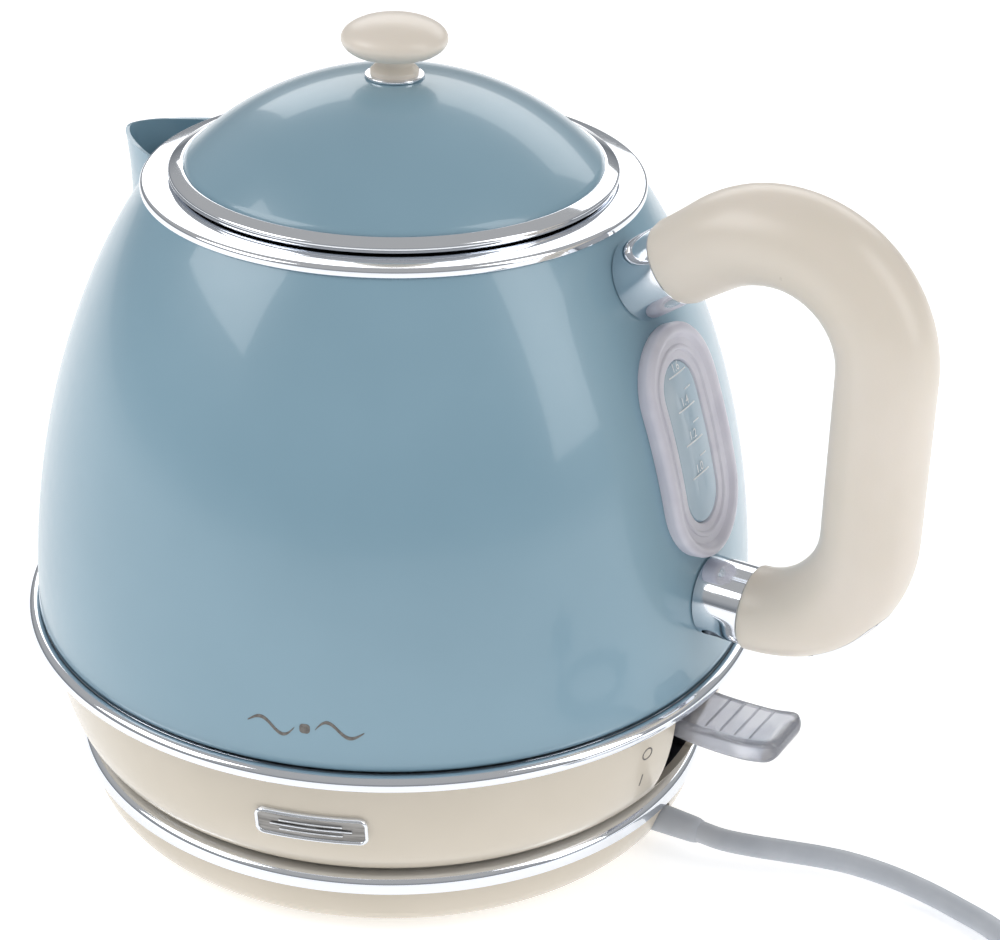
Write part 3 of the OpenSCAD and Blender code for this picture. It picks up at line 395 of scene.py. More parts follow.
def joined(name, *meshes):
    """One mesh of several."""
    mesh_data = bmesh.new()
    for mesh in meshes:
        mesh_data.from_mesh(mesh)
    return finished_mesh(name, mesh_data)


def rounded_box(name, low, high, radius):
    """A box in millimetres between two corners, its edges rounded."""
    mesh_data = bmesh.new()
    bmesh.ops.create_cube(mesh_data, size=1)
    size = Vector(high) - Vector(low)
    middle = (Vector(high) + Vector(low)) / 2
    for v in mesh_data.verts:
        v.co = Vector((v.co.x * size.x, v.co.y * size.y, v.co.z * size.z)) * mm + middle * mm
    if radius:
        bmesh.ops.bevel(mesh_data, geom=mesh_data.edges[:] + mesh_data.verts[:],
                        offset=radius * mm, segments=3, profile=0.5, affect="EDGES")
    return finished_mesh(name, mesh_data)


plug_low, plug_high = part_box("plug_body")
plug_r = 19.0
plug_centre = Vector((plug_high.x - plug_r * mm, (plug_low.y + plug_high.y) / 2, 0))
plug_face = plug_high.z
plug_shape = turned_mesh("plug", [(0, 0), (plug_r, 0, 4), (plug_r, 15, 2), (17.6, 17, 2),
                                  (18.6, 26, 1), (15.5, 26, 0.4), (15.5, 25.2), (0, 25.2)],
                         plug_centre, 96)
neck_reach = 24.0
neck_run = 28.5
neck_z = plug_end_route[-1][2]
neck_line = [Vector((plug_centre.x + (neck_run * i / 12 - plug_r - neck_reach) * mm,
                     plug_centre.y, neck_z * mm)) for i in range(13)]
neck_radii = [mm * (3.6 + 4.7 * (i / 12) ** 1.3) for i in range(13)]
neck = tube_mesh("plug_neck", neck_line, neck_radii, 32)
# the socket for an earth pin, and the two grooves for the clips
plug_tools = [turned_mesh("earth_socket", [(0, 12), (2.5, 12), (2.5, 30), (0, 30)],
                          plug_centre + Vector((0, 0.007, 0)), 32)]
for side in (-1, 1):
    groove_x, groove_y = plug_centre.x / mm, plug_centre.y / mm + side * 18
    plug_tools.append(rounded_box("clip_groove", (groove_x - 4, groove_y - 1.7, 12),
                                  (groove_x + 4, groove_y + 1.7, 30), 0))
plug_mesh = joined("plug", cut(plug_shape, *plug_tools), neck)
plug = link_piece("plug", plug_mesh, "power_base", "lead_plastic", lead_pvc, "plug_body")

# Nickel on brass, drawn and turned: bright, with fine lengthwise scratches
nickel = new_material("turned_nickel", "#C9C5BA", 0.22, Metallic=1.0)
roughness_range(nickel, grain(nickel, 0.001, 3, (1, 1, 0.1)), 0.14, 0.32)
pin_meshes = []
pin_pitch = 19.0
for side in (-1, 1):
    pin_centre = (plug_centre.x + side * pin_pitch / 2 * mm, plug_centre.y, plug_face)
    pin_meshes.append(turned_mesh("pin", [(0, -0.9), (2.4, -0.9), (2.4, 17.6, 1.2), (1.2, 19, 0.6),
                                          (0, 19)], pin_centre, 48))
plug_pins = link_piece("nickel_pins", joined("nickel_pins", *pin_meshes), "power_base",
                       "pin_nickel", nickel, "plug_pins")

# Brass strip, stamped and left bare: warm and softly streaked
brass = new_material("stamped_brass", "#C9A356", 0.3, Metallic=1.0)
two_tone(brass, grain(brass, 0.003, 3), "#A8843F", "#C29E58")
roughness_range(brass, grain(brass, 0.0008, 2, (1, 1, 0.15)), 0.22, 0.42)

# Black nylon strap with a fine ribbed face, pulled tight around the turns
tie_black = new_material("moulded_black_nylon", "#1F1F22", 0.5)
two_tone(tie_black, grain(tie_black, 0.002, 2), "#1A1A1C", "#2B2B2E")
relief(tie_black, grain(tie_black, 0.0005, 1, (0.2, 1, 1)), 0.00008)
tie_low, tie_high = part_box("cord_tie")
tie_centre = (tie_low + tie_high) / 2
tie_path = []
tie_half = Vector((0, (tie_high.y - tie_low.y) / 2 - 0.0006, tie_high.z / 2 - 0.0008))
for k in range(48):
    around = 2 * pi * k / 48
    reach = (abs(cos(around)) ** 4 + abs(sin(around)) ** 4) ** -0.25
    tie_path.append(Vector((tie_centre.x, tie_centre.y + tie_half.y * reach * cos(around),
                            tie_high.z / 2 + tie_half.z * reach * sin(around))))


def strap_mesh(name, loop, width, thickness):
    """A flat closed strap of rectangular section along a loop of points across X."""
    mesh_data = bmesh.new()
    middle = sum(loop, Vector()) / len(loop)
    rings = []
    for here in loop:
        outward = (here - middle).normalized() * thickness / 2
        across = Vector((width / 2, 0, 0))
        rings.append([mesh_data.verts.new(here + a * across + b * outward)
                      for a, b in ((-1, -1), (1, -1), (1, 0.6), (0.9, 1), (-0.9, 1), (-1, 0.6))])
    for i, low in enumerate(rings):
        high = rings[(i + 1) % len(rings)]
        for k in range(len(low)):
            mesh_data.faces.new((low[k], low[(k + 1) % 6], high[(k + 1) % 6], high[k]))
    bmesh.ops.recalc_face_normals(mesh_data, faces=mesh_data.faces)
    return finished_mesh(name, mesh_data)


tie = link_piece("cord_tie_strap", strap_mesh("cord_tie_strap", tie_path, 0.005, 0.0011),
                 "power_base", "black_plastic", tie_black, "cord_tie")

# The tapered sleeve, moulded in the lead's own PVC; its thin end blends into the lead
sleeve_low, sleeve_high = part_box("strain_relief")
sleeve_z = lead_route[0][2] * mm
sleeve_root_r = 4.35
sleeve_taper = 0.85
sleeve_line = []
sleeve_radii = []
for i in range(25):
    along = i / 24
    sleeve_line.append(Vector((sleeve_low.x + (sleeve_high.x - sleeve_low.x) * along, 0, sleeve_z)))
    rounding = 0.35 * smooth((along - 0.94) / 0.06)
    sleeve_radii.append((sleeve_root_r - sleeve_taper * along - rounding) * mm)
link_piece("strain_relief_sleeve",
           tube_mesh("strain_relief_sleeve", sleeve_line, sleeve_radii, 48),
           "power_base", "lead_plastic", lead_pvc, "strain_relief")
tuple(lead_line[0])
[list(p) for p in lead_line]


# ---- Power base ----
# Two cream ABS mouldings screwed together, a dished shell below and a plate with a raised
# middle above, and a pressed, chrome-plated trim ring over the joint between them.
base_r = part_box("base_ring")[1].x / mm
base_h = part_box("base_ring")[1].z / mm
shell_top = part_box("base_shell")[1].z / mm
shell_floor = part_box("base_shell")[0].z / mm
plate_z = base_h - 1.5
rise_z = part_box("base_plate")[1].z / mm

# Glossy ABS, injection moulded: warm cream, almost mirror-smooth with a slight waviness
cream_abs = new_material("moulded_cream_abs", "#D2C8B8", 0.2, IOR=1.5, Coat_Weight=0.35,
                         Coat_Roughness=0.08)
two_tone(cream_abs, grain(cream_abs, 0.05, 3), "#CFC5B4", "#D5CBBB")
roughness_range(cream_abs, grain(cream_abs, 0.006, 3), 0.17, 0.27)
relief(cream_abs, grain(cream_abs, 0.0035, 2), 0.00003, 0.35)

# Bright chrome on a pressed ring: mirror finish with fine round polishing marks
chrome = new_material("polished_chrome_plate", "#E9ECF1", 0.05, Metallic=1.0)
roughness_range(chrome, grain(chrome, 0.002, 4, (1, 1, 4)), 0.03, 0.10)
relief(chrome, grain(chrome, 0.02, 1), 0.00002, 0.2)

shell_foot = base_r - 9.5
shell_curve = [(shell_foot + (base_r - 1.3 - shell_foot) * cos(radians(a)),
                shell_top - (shell_top - shell_floor) * sin(radians(a))) for a in range(0, 91, 6)]
shell_wall = 2.2
shell_inside = [(r - shell_wall, max(z, shell_floor + shell_wall)) for r, z in shell_curve]
shell_inside = [p for p in reversed(shell_inside) if p[1] > shell_floor + shell_wall + 0.01]
foot_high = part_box("foot_ring")[1]
foot_out = foot_high.x / mm
foot_in = foot_out - 6
shell_mesh = turned_mesh("base_dish", shell_curve
                         + [(foot_out + 0.1, shell_floor), (foot_out + 0.1, shell_floor + 1.2),
                            (foot_in - 0.1, shell_floor + 1.2), (foot_in - 0.1, shell_floor),
                            (0, shell_floor), (0, shell_floor + shell_wall)] + shell_inside)
lead_hole = tube_mesh("lead_hole", [Vector((x * mm, 0, sleeve_z)) for x in (72, 90)],
                      [(sleeve_root_r + 0.1) * mm] * 2, 48)
base_head_r = 2.9
screw_place = (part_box("base_screws")[1].x / mm - base_head_r) * sqrt(2)
screw_sinks = [turned_mesh("screw_sink", [(0, 0), (3.2, 0), (3.2, 4), (0, 4)],
                           (screw_place * mm * cos(radians(a)), screw_place * mm * sin(radians(a)),
                            0), 32) for a in (45, 135, 225, 315)]
link_piece("base_dish", cut(shell_mesh, lead_hole, *screw_sinks), "power_base", "cream_plastic",
           cream_abs, "base_shell")

plate_mesh = turned_mesh("base_top_plate", [
    (22.0, rise_z), (37.0, rise_z, 5), (48.0, plate_z, 5), (66.5, plate_z, 1),
    (68.3, plate_z - 0.25, 1), (base_r - 8.6, plate_z - 0.25), (base_r - 8.6, plate_z - 2.2),
    (46.8, plate_z - 2.2, 2), (35.8, rise_z - 2.2, 2), (22.0, rise_z - 2.2)], steps=8)
link_piece("base_top_plate", plate_mesh, "power_base", "cream_plastic", cream_abs, "base_plate")

ring_mesh = turned_mesh("base_trim_ring", [
    (base_r - 14.6, base_h - 0.3, 0.25), (base_r - 14.3, base_h, 0.3), (base_r, base_h, 2.3),
    (base_r, shell_top - 0.6), (base_r - 1.1, shell_top - 0.6), (base_r - 1.1, base_h - 1.2, 1.2),
    (base_r - 13.4, base_h - 1.2), (base_r - 13.4, plate_z + 0.1), (base_r - 14.6, plate_z + 0.1)],
    segments=256)
link_piece("base_trim_ring", ring_mesh, "power_base", "chrome_trim", chrome, "base_ring")

# Foot ring of black rubber, its sole moulded with fine rings for grip
foot_rubber = new_material("moulded_black_rubber", "#232325", 0.78)
two_tone(foot_rubber, grain(foot_rubber, 0.004, 3), "#1D1D1F", "#2B2B2D")
relief(foot_rubber, grain(foot_rubber, 0.0006, 2), 0.0001)
sole = []
for k in range(5):
    sole += [(foot_out - 0.3 - 1.1 * k, 0), (foot_out - 0.9 - 1.1 * k, 0),
             (foot_out - 1.0 - 1.1 * k, 0.35), (foot_out - 1.3 - 1.1 * k, 0.35)]
foot_top = foot_high.z / mm
foot_mesh = turned_mesh("foot_ring_ribbed", [(foot_out, foot_top), (foot_out, 0.2, 0.1)] + sole
                        + [(foot_in, 0.2, 0.1), (foot_in, foot_top)])
link_piece("foot_ring_ribbed", foot_mesh, "power_base", "foot_rubber", foot_rubber, "foot_ring")


# ---- Screws ----
# Zinc-plated pan-head screws with a cross recess. One head is made by turning and cutting, and
# a node tree sets copies of it around a circle.
zinc = new_material("zinc_plated_steel", "#B9BCC0", 0.32, Metallic=1.0)
two_tone(zinc, grain(zinc, 0.002, 3), "#A4A8AD", "#C5C8CB")
roughness_range(zinc, grain(zinc, 0.0006, 3), 0.25, 0.45)


def copies_tree():
    """Copies of an object around a circle: inputs Master, Copies, Circle, First and Finish."""
    tree = bpy.data.node_groups.new("copies_around_a_circle", "GeometryNodeTree")
    face = tree.interface
    face.new_socket("Geometry", in_out="INPUT", socket_type="NodeSocketGeometry")
    for name, kind in (("Master", "NodeSocketObject"), ("Copies", "NodeSocketInt"),
                       ("Circle", "NodeSocketFloat"), ("First", "NodeSocketFloat"),
                       ("Finish", "NodeSocketMaterial")):
        face.new_socket(name, in_out="INPUT", socket_type=kind)
    face.new_socket("Geometry", in_out="OUTPUT", socket_type="NodeSocketGeometry")
    given = add_node(tree, "NodeGroupInput").outputs
    ring = add_node(tree, "GeometryNodeMeshCircle",
                    {"Vertices": given["Copies"], "Radius": given["Circle"]})
    master = add_node(tree, "GeometryNodeObjectInfo", {"Object": given["Master"]})
    index = add_node(tree, "GeometryNodeInputIndex")
    step = add_node(tree, "ShaderNodeMath", {1: given["Copies"]}, operation="DIVIDE")
    step.inputs[0].default_value = 2 * pi
    angle = add_node(tree, "ShaderNodeMath", {0: index.outputs[0], 1: step.outputs[0]},
                     operation="MULTIPLY")
    spin = add_node(tree, "ShaderNodeCombineXYZ", {"Z": angle.outputs[0]})
    placed = add_node(tree, "GeometryNodeInstanceOnPoints",
                      {"Points": ring.outputs["Mesh"], "Instance": master.outputs["Geometry"],
                       "Rotation": spin.outputs[0]})
    first = add_node(tree, "ShaderNodeCombineXYZ", {"Z": given["First"]})
    turned = add_node(tree, "GeometryNodeTransform",
                      {"Geometry": placed.outputs[0], "Rotation": first.outputs[0]})
    real = add_node(tree, "GeometryNodeRealizeInstances", {"Geometry": turned.outputs[0]})
    finish = add_node(tree, "GeometryNodeSetMaterial",
                      {"Geometry": real.outputs[0], "Material": given["Finish"]})
    add_node(tree, "NodeGroupOutput", {"Geometry": finish.outputs[0]})
    return tree


circle_copies = copies_tree()


def run_tree(name, tree, **inputs):
    """Runs a node tree on an empty mesh and returns the plain mesh that it makes."""
    holder = bpy.data.objects.new(name, bpy.data.meshes.new(name + "_start"))
    scene.collection.objects.link(holder)
    modifier = holder.modifiers.new("nodes", "NODES")
    modifier.node_group = tree
    for item in tree.interface.items_tree:
        if item.in_out == "INPUT" and item.name in inputs:
            modifier[item.identifier] = inputs[item.name]
    bpy.context.view_layer.update()
    ready = holder.evaluated_get(bpy.context.evaluated_depsgraph_get())
    mesh = bpy.data.meshes.new_from_object(ready)
    holder.modifiers.clear()
    bpy.data.objects.remove(holder)
    shade(mesh)
    return mesh


def around(name, mesh, copies, circle, first, material):
    """Copies of a mesh around a circle, radius in millimetres and first angle in degrees."""
    master = bpy.data.objects.new("master", mesh)
    scene.collection.objects.link(master)
    made = run_tree(name, circle_copies, Master=master, Copies=copies, Circle=circle * mm,
                    First=radians(first), Finish=material)
    bpy.data.objects.remove(master)
    return made


def screw_mesh(head_z, head_r, head_h, shank_r, shank):
    """A pan-head screw seen from below: its head's top is down at head_z."""
    neck_z = head_z + head_h
    body = turned_mesh("screw", [(0, head_z), (head_r, head_z, head_h * 0.6), (head_r, neck_z),
                                 (shank_r, neck_z), (shank_r, neck_z + shank), (0, neck_z + shank)],
                       segments=32, steps=4)
    arm = head_r * 0.6
    slots = [rounded_box("slot", (-arm, -0.35, head_z - 1), (arm, 0.35, head_z + head_h * 0.6), 0),
             rounded_box("slot", (-0.35, -arm, head_z - 1), (0.35, arm, head_z + head_h * 0.6), 0)]
    return cut(body, *slots)


def replace_screws(node, body, head_r, head_h, shank_r, copies, circle, first):
    """Stands detailed screws where a CAD node has its plain ones, on a circle in millimetres."""
    low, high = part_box(node)
    shank = (high.z - low.z) / mm - head_h
    made = around(node + "_zinc", screw_mesh(low.z / mm, head_r, head_h, shank_r, shank), copies,
                  circle, first, zinc)
    link_piece(node + "_zinc", made, body, "zinc_screw", None, node)


replace_screws("base_screws", "power_base", base_head_r, 1.6, 1.5, 4, screw_place, 45)
flange_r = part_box("connector_turret")[1].x / mm
replace_screws("turret_screws", "power_base", 2.6, 1.6, 1.5, 3, flange_r - 2.6, 30)


# ---- Connector tower ----
# The round 360-degree connector: a black glass-filled PBT moulding with a conical skirt, a
# rounded head over a shadow groove, and a loose grey-black insert that closes its middle.
tower_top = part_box("connector_turret")[1].z / mm
tower_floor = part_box("connector_turret")[0].z / mm
tower_r = 15.5
pbt = new_material("moulded_black_pbt", "#1E1E22", 0.42, IOR=1.56)
two_tone(pbt, grain(pbt, 0.003, 4), "#19191C", "#26262B")
roughness_range(pbt, grain(pbt, 0.0012, 3), 0.34, 0.52)
relief(pbt, grain(pbt, 0.0005, 3), 0.00008, 0.6)
tower_mesh = turned_mesh("connector_tower", [
    (10.0, tower_floor + 3), (11.5, tower_floor), (flange_r, tower_floor),
    (flange_r, tower_floor + 2.6), (21.7, tower_floor + 2.6), (21.7, rise_z + 0.7, 0.3),
    (21.0, rise_z + 0.9, 0.3),
    (15.0, rise_z + 5.2, 1.2), (14.8, tower_top - 5.2), (14.5, tower_top - 5.0),
    (14.5, tower_top - 4.4), (tower_r, tower_top - 4.0, 0.5), (tower_r, tower_top, 1.7),
    (10.2, tower_top, 0.5), (10.0, tower_top - 1, 0.2)], segments=160)
# the draft line where the mould's halves met, and the small key at the skirt's foot
seam_tool = rounded_box("seam", (14.4, -0.06, rise_z - 1), (24, 0.06, tower_top - 5.5), 0)
seam_turn = -12
key_turn = -72
key = moved(rounded_box("key", (21.2, -0.9, rise_z - 0.1), (23.0, 0.9, rise_z + 0.7), 0.15), "Z",
            key_turn)
tower_mesh = joined("connector_tower", cut(tower_mesh, moved(seam_tool, "Z", seam_turn)), key)
link_piece("connector_tower", tower_mesh, "power_base", "black_plastic", pbt, "connector_turret")

insert_low, insert_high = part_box("connector_insert")
insert_r = insert_high.x / mm
insert_top = insert_high.z / mm
insert_body = turned_mesh("shutter_insert", [
    (2.2, insert_low.z / mm), (insert_r, insert_low.z / mm), (insert_r, insert_top, 0.7),
    (2.2, insert_top, 0.4)], segments=96)
# three lobes joined by a ring groove, as wide as the shutter's legs
groove_tools = [turned_mesh("groove", [(3.6, insert_top - 1.6), (4.4, insert_top - 1.6),
                                       (4.4, insert_top + 1), (3.6, insert_top + 1)], segments=64)]
lobe_circle = 4.6
for a in (4, 124, 244):
    groove_tools.append(turned_mesh("lobe", [(0, insert_top - 2.2), (1.15, insert_top - 2.2),
                                             (1.15, insert_top + 1), (0, insert_top + 1)],
                                    (lobe_circle * mm * cos(radians(a)),
                                     lobe_circle * mm * sin(radians(a)), 0), 32))
insert_mesh = cut(insert_body, *groove_tools)
insert_grey = new_material("moulded_grey_pbt", "#4C4D52", 0.38)
two_tone(insert_grey, grain(insert_grey, 0.002, 3), "#434449", "#595A60")
relief(insert_grey, grain(insert_grey, 0.0005, 2), 0.00006)
link_piece("shutter_insert", insert_mesh, "insert", "foot_rubber", insert_grey, "connector_insert")


# ---- Body ----
# The jug's dome is deep-drawn stainless sheet, painted pastel blue outside. Its side follows an
# ellipse from the trim ring up to the mouth. Holes are punched for the window and the spout.
jug_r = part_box("body_shell")[1].x / mm + 0.03
mouth_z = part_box("body_shell")[1].z / mm
ring_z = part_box("trim_ring")[0].z / mm + 1.4
dome_h = 158.0
sheet_t = 1.0
body_foot = ring_z + 3.2


def dome(z):
    """Radius of the body's outside at a height, in millimetres."""
    return jug_r * sqrt(max(0, 1 - ((z - ring_z) / dome_h) ** 2))


def on_body(u, z, off=0.0):
    """A point over the body's side: u across from the handle's plane, z up, off outwards."""
    radius = dome(z)
    slope = atan2(jug_r ** 2 * (z - ring_z), dome_h ** 2 * radius)
    turn = asin(max(-1, min(1, u / radius)))
    out = radius + off * cos(slope)
    return Vector((out * cos(turn), out * sin(turn), z + off * sin(slope))) * mm


# Stoved enamel over steel: soft pastel blue with a deep clear gloss and slight orange peel
blue_enamel = new_material("stoved_blue_enamel", "#85A6B7", 0.3, IOR=1.5, Coat_Weight=0.55,
                           Coat_Roughness=0.07)
two_tone(blue_enamel, grain(blue_enamel, 0.07, 3), "#82A3B4", "#88A9BA")
roughness_range(blue_enamel, grain(blue_enamel, 0.004, 2), 0.26, 0.36)
relief(blue_enamel, grain(blue_enamel, 0.0022, 2), 0.00003, 0.3)

body_outside = [(dome(z), z) for z in
                [body_foot + 1.2 + (mouth_z - body_foot - 1.2) * i / 72 for i in range(73)]]
body_inside = [(r - sheet_t, z) for r, z in reversed(body_outside)]
body_profile = ([(jug_r - 1.6, body_foot - 0.5), (jug_r - 0.5, body_foot + 0.1)] + body_outside
                + body_inside + [(jug_r - 2.6, body_foot - 0.5)])
body_mesh = turned_mesh("body_dome", body_profile, segments=256, sharp=50)


def rounded_loop(half_w, half_h, radius, arc_steps=14, side_steps=12):
    """A rounded rectangle as a loop of (u, v): points around its corners and along its sides."""
    loop = []
    arcs = []
    for su, sv, a0 in ((1, 1, 0), (-1, 1, 90), (-1, -1, 180), (1, -1, 270)):
        cu, cv = su * (half_w - radius), sv * (half_h - radius)
        arcs.append([(cu + radius * cos(radians(a0 + 90 * k / arc_steps)),
                      cv + radius * sin(radians(a0 + 90 * k / arc_steps)))
                     for k in range(arc_steps + 1)])
    for i, arc in enumerate(arcs):
        (u0, v0), (u1, v1) = arc[-1], arcs[(i + 1) % 4][0]
        loop += arc
        for k in range(1, side_steps):
            t = k / side_steps
            loop.append((u0 + (u1 - u0) * t, v0 + (v1 - v0) * t))
    return loop


def skin_mesh(name, loops, closed=False, sharp=35):
    """Joins loops of points, all as long, with faces; closed joins the last one to the first."""
    mesh_data = bmesh.new()
    rows = [[mesh_data.verts.new(p) for p in loop] for loop in loops]
    count = len(rows[0])
    for i in range(len(rows) if closed else len(rows) - 1):
        low, high = rows[i], rows[(i + 1) % len(rows)]
        for k in range(count):
            mesh_data.faces.new((low[k], low[(k + 1) % count], high[(k + 1) % count], high[k]))
    if not closed:
        for row in (rows[0], rows[-1]):
            middle = mesh_data.verts.new(sum((v.co for v in row), Vector()) / count)
            for k in range(count):
                mesh_data.faces.new((row[k], row[(k + 1) % count], middle))
    bmesh.ops.remove_doubles(mesh_data, verts=mesh_data.verts, dist=1e-7)
    bmesh.ops.recalc_face_normals(mesh_data, faces=mesh_data.faces)
    return finished_mesh(name, mesh_data, sharp)


def trim_on(surface, name, half_w, half_h, radius, profile, middle, closed=True, sharp=35):
    """A rounded frame on a curved surface: profile is (inset, off) all around its section."""
    loops = []
    for inset, off in profile:
        loop = rounded_loop(half_w - inset, half_h - inset, max(0.02, radius - inset))
        loops.append([surface(middle[0] + u, middle[1] + v, off) for u, v in loop])
    return skin_mesh(name, loops, closed, sharp)


def slab_on(surface, name, half_w, half_h, radius, low, high, middle, edge=0.0):
    """A rounded plate on a curved surface between two offsets, its middle filled with rings."""
    inner = [0.25, 0.5, 0.75]
    least = min(half_w, half_h)
    profile = ([(least * t, low) for t in reversed(inner)]
               + [(0, low), (0, high - edge), (edge, high)] + [(least * t, high) for t in inner])
    return trim_on(surface, name, half_w, half_h, radius, profile, middle, closed=False)


bezel_low, bezel_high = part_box("window_bezel")
bezel_half_w = bezel_high.y / mm
bezel_z = (bezel_low.z + bezel_high.z) / 2 / mm
bezel_half_h = (bezel_high.z - bezel_low.z) / 2 / mm
window_hole = slab_on(on_body, "window_hole", bezel_half_w - 6.7, bezel_half_h - 6.6, 9.8, -4, 4,
                      (0, bezel_z))
spout_hole_z = mouth_z - 15.5


def on_back(u, z, off=0.0):
    """The same as on_body, on the spout's side."""
    front = on_body(u, z, off)
    return Vector((-front.x, -front.y, front.z))


spout_hole = slab_on(on_back, "spout_hole", 9, 6.5, 4, -4, 4, (0, spout_hole_z))
body_mesh = cut(body_mesh, window_hole, spout_hole, sharp=50)
link_piece("body_dome", body_mesh, "jug", "blue_paint", blue_enamel, "body_shell")

# Trim ring: a rolled, chrome-plated band that hides the joint of body and skirt
roll_profile = [(jug_r - 4.4, ring_z - 1.4), (jug_r - 1, ring_z - 1.4)]
roll_profile += [(jug_r + 1.0 + 2.2 * cos(radians(a)), ring_z + 0.8 + 2.2 * sin(radians(a)))
                 for a in range(-90, 136, 9)]
roll_profile += [(jug_r - 0.35, ring_z + 2.0, 0.2), (jug_r - 1.2, ring_z + 2.2),
                 (jug_r - 4.4, ring_z + 2.2)]
link_piece("jug_trim_roll", turned_mesh("jug_trim_roll", roll_profile, segments=320), "jug",
           "chrome_trim", chrome, "trim_ring")


# ---- Skirt ----
# The cream ABS skirt under the trim ring bows in to the base's width. A slot at the handle's
# side lets the switch lever out; small printed marks beside it show off and on.
skirt_foot_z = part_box("skirt")[0].z / mm
skirt_top_r = jug_r - 2.8
skirt_foot_r = base_r - 6.5
skirt_wall = 2.2


def skirt(z):
    """Radius of the skirt's outside at a height, in millimetres."""
    depth = min(1, (ring_z - z) / (ring_z - skirt_foot_z))
    return skirt_foot_r + (skirt_top_r - skirt_foot_r) * sqrt(max(0, 1 - depth ** 2))


def on_skirt(turned):
    """The skirt's surface around a middle line turned from the handle's plane, in degrees."""
    def surface(u, z, off=0.0):
        depth = (ring_z - z) / (ring_z - skirt_foot_z)
        radius = skirt(z)
        fall = atan2((skirt_top_r - skirt_foot_r) * depth, (ring_z - skirt_foot_z)
                     * sqrt(max(0.01, 1 - depth ** 2)))
        out = radius + off * cos(fall)
        turn = radians(turned) + u / radius
        return Vector((out * cos(turn), out * sin(turn), z - off * sin(fall))) * mm
    return surface


skirt_curve = []
for k in range(33):
    a = radians(90 * k / 32)
    skirt_curve.append((skirt_foot_r + (skirt_top_r - skirt_foot_r) * cos(a),
                        ring_z - (ring_z - skirt_foot_z) * sin(a)))
skirt_curve = [p for p in skirt_curve if p[1] < ring_z - 1.5]
skirt_profile = ([(skirt_top_r - skirt_wall, ring_z - 1.5), (skirt_top_r - 0.1, ring_z - 1.5)]
                 + skirt_curve[:-1] + [(skirt_foot_r + 0.35, skirt_foot_z + 0.25),
                                       (skirt_foot_r, skirt_foot_z),
                                       (skirt_foot_r - skirt_wall, skirt_foot_z)]
                 + [(r - skirt_wall, z) for r, z in reversed(skirt_curve[:-1])])
skirt_mesh = turned_mesh("jug_skirt", skirt_profile, segments=288)
lever_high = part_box("switch_lever")[1]
lever_half = lever_high.y / mm
slot_half = lever_half + 1.1
slot_low = skirt_foot_z + 6
slot_high = ring_z - 3
slot_tool = rounded_box("slot", (80, -slot_half, slot_low), (110, slot_half, slot_high), 1.0)
link_piece("jug_skirt", cut(skirt_mesh, slot_tool), "jug", "cream_plastic", cream_abs, "skirt")

# The dark box behind the slot, in which the lever's hub turns
well_outer = rounded_box("well", (72.5, -slot_half - 1.4, slot_low - 1.4),
                         (88.5, slot_half + 1.4, slot_high + 0.6), 0.3)
well_inner = rounded_box("well_inside", (74, -slot_half - 0.02, slot_low - 0.02),
                         (92, slot_half + 0.02, slot_high - 0.4), 0)
well_bound = turned_mesh("well_bound", [(0, ring_z - 1.6)]
                         + [(r - 0.7, z) for r, z in skirt_curve] + [(0, skirt_foot_z)])
switch_well = cut(cut(well_outer, well_inner), well_bound, operation="INTERSECT")
link_piece("switch_well", switch_well, "jug", "black_plastic", pbt)

# Pad-printed marks: a ring for off and a bar for on, in warm grey ink
mark_ink = new_material("printed_grey_ink", "#6E6A66", 0.5)
two_tone(mark_ink, grain(mark_ink, 0.0008, 2), "#625E5A", "#7A7672")
mark_surface = on_skirt(-13.5)
mark_off = trim_on(mark_surface, "mark_off", 1.9, 1.9, 1.9,
                   [(0, 0.0), (0, 0.06), (0.42, 0.06), (0.42, 0.0)], (0, ring_z - 11.5))
mark_on = slab_on(mark_surface, "mark_on", 0.22, 2.1, 0.2, 0, 0.06, (0, ring_z - 20.5))
link_piece("switch_marks", joined("switch_marks", mark_off, mark_on), "jug", "badge_field",
           mark_ink)


# ---- Badge ----
# A small die-cast frame, chrome plated, around a grey brushed field. The field is plain apart
# from three raised hairlines.
front_turn = -70
badge_surface = on_skirt(front_turn)
badge_z = ring_z - 17.2
badge_half = (14.5, 4.3)
frame_profile = [(0, -0.3), (0, 0.9), (0.2, 1.2), (0.45, 1.35), (0.7, 1.25), (0.95, 0.95),
                 (1.0, 0.5), (1.0, -0.3)]
badge_frame = trim_on(badge_surface, "badge_rim", *badge_half, 2.4, frame_profile, (0, badge_z))
link_piece("badge_rim", badge_frame, "jug", "chrome_trim", chrome, "badge_frame")
field_grey = new_material("brushed_grey_metal", "#8E8C8A", 0.38, Metallic=0.85)
two_tone(field_grey, grain(field_grey, 0.0009, 3, (0.08, 0.08, 1)), "#7C7A78", "#A19F9D")
relief(field_grey, grain(field_grey, 0.0006, 2, (0.08, 0.08, 1)), 0.00006)
field = slab_on(badge_surface, "badge_field", badge_half[0] - 0.95, badge_half[1] - 0.95, 1.4, -0.2,
                0.75, (0, badge_z), 0.05)
hairlines = [slab_on(badge_surface, "hairline", 10.5 - 2.4 * abs(k), 0.22, 0.2, 0.7, 1.05,
                     (0, badge_z + 1.5 * k), 0.05) for k in (-1, 0, 1)]
link_piece("badge_field", field, "jug", "badge_field", field_grey, "badge_plate")
link_piece("badge_lines", joined("badge_lines", *hairlines), "jug", "chrome_trim", chrome)


def on_side(u, z, off=0.0):
    """A point over the body's side above the badge: u across, z up, off outwards."""
    radius = dome(z) + off
    turn = radians(front_turn) + u / dome(z)
    return Vector((radius * cos(turn), radius * sin(turn), z)) * mm


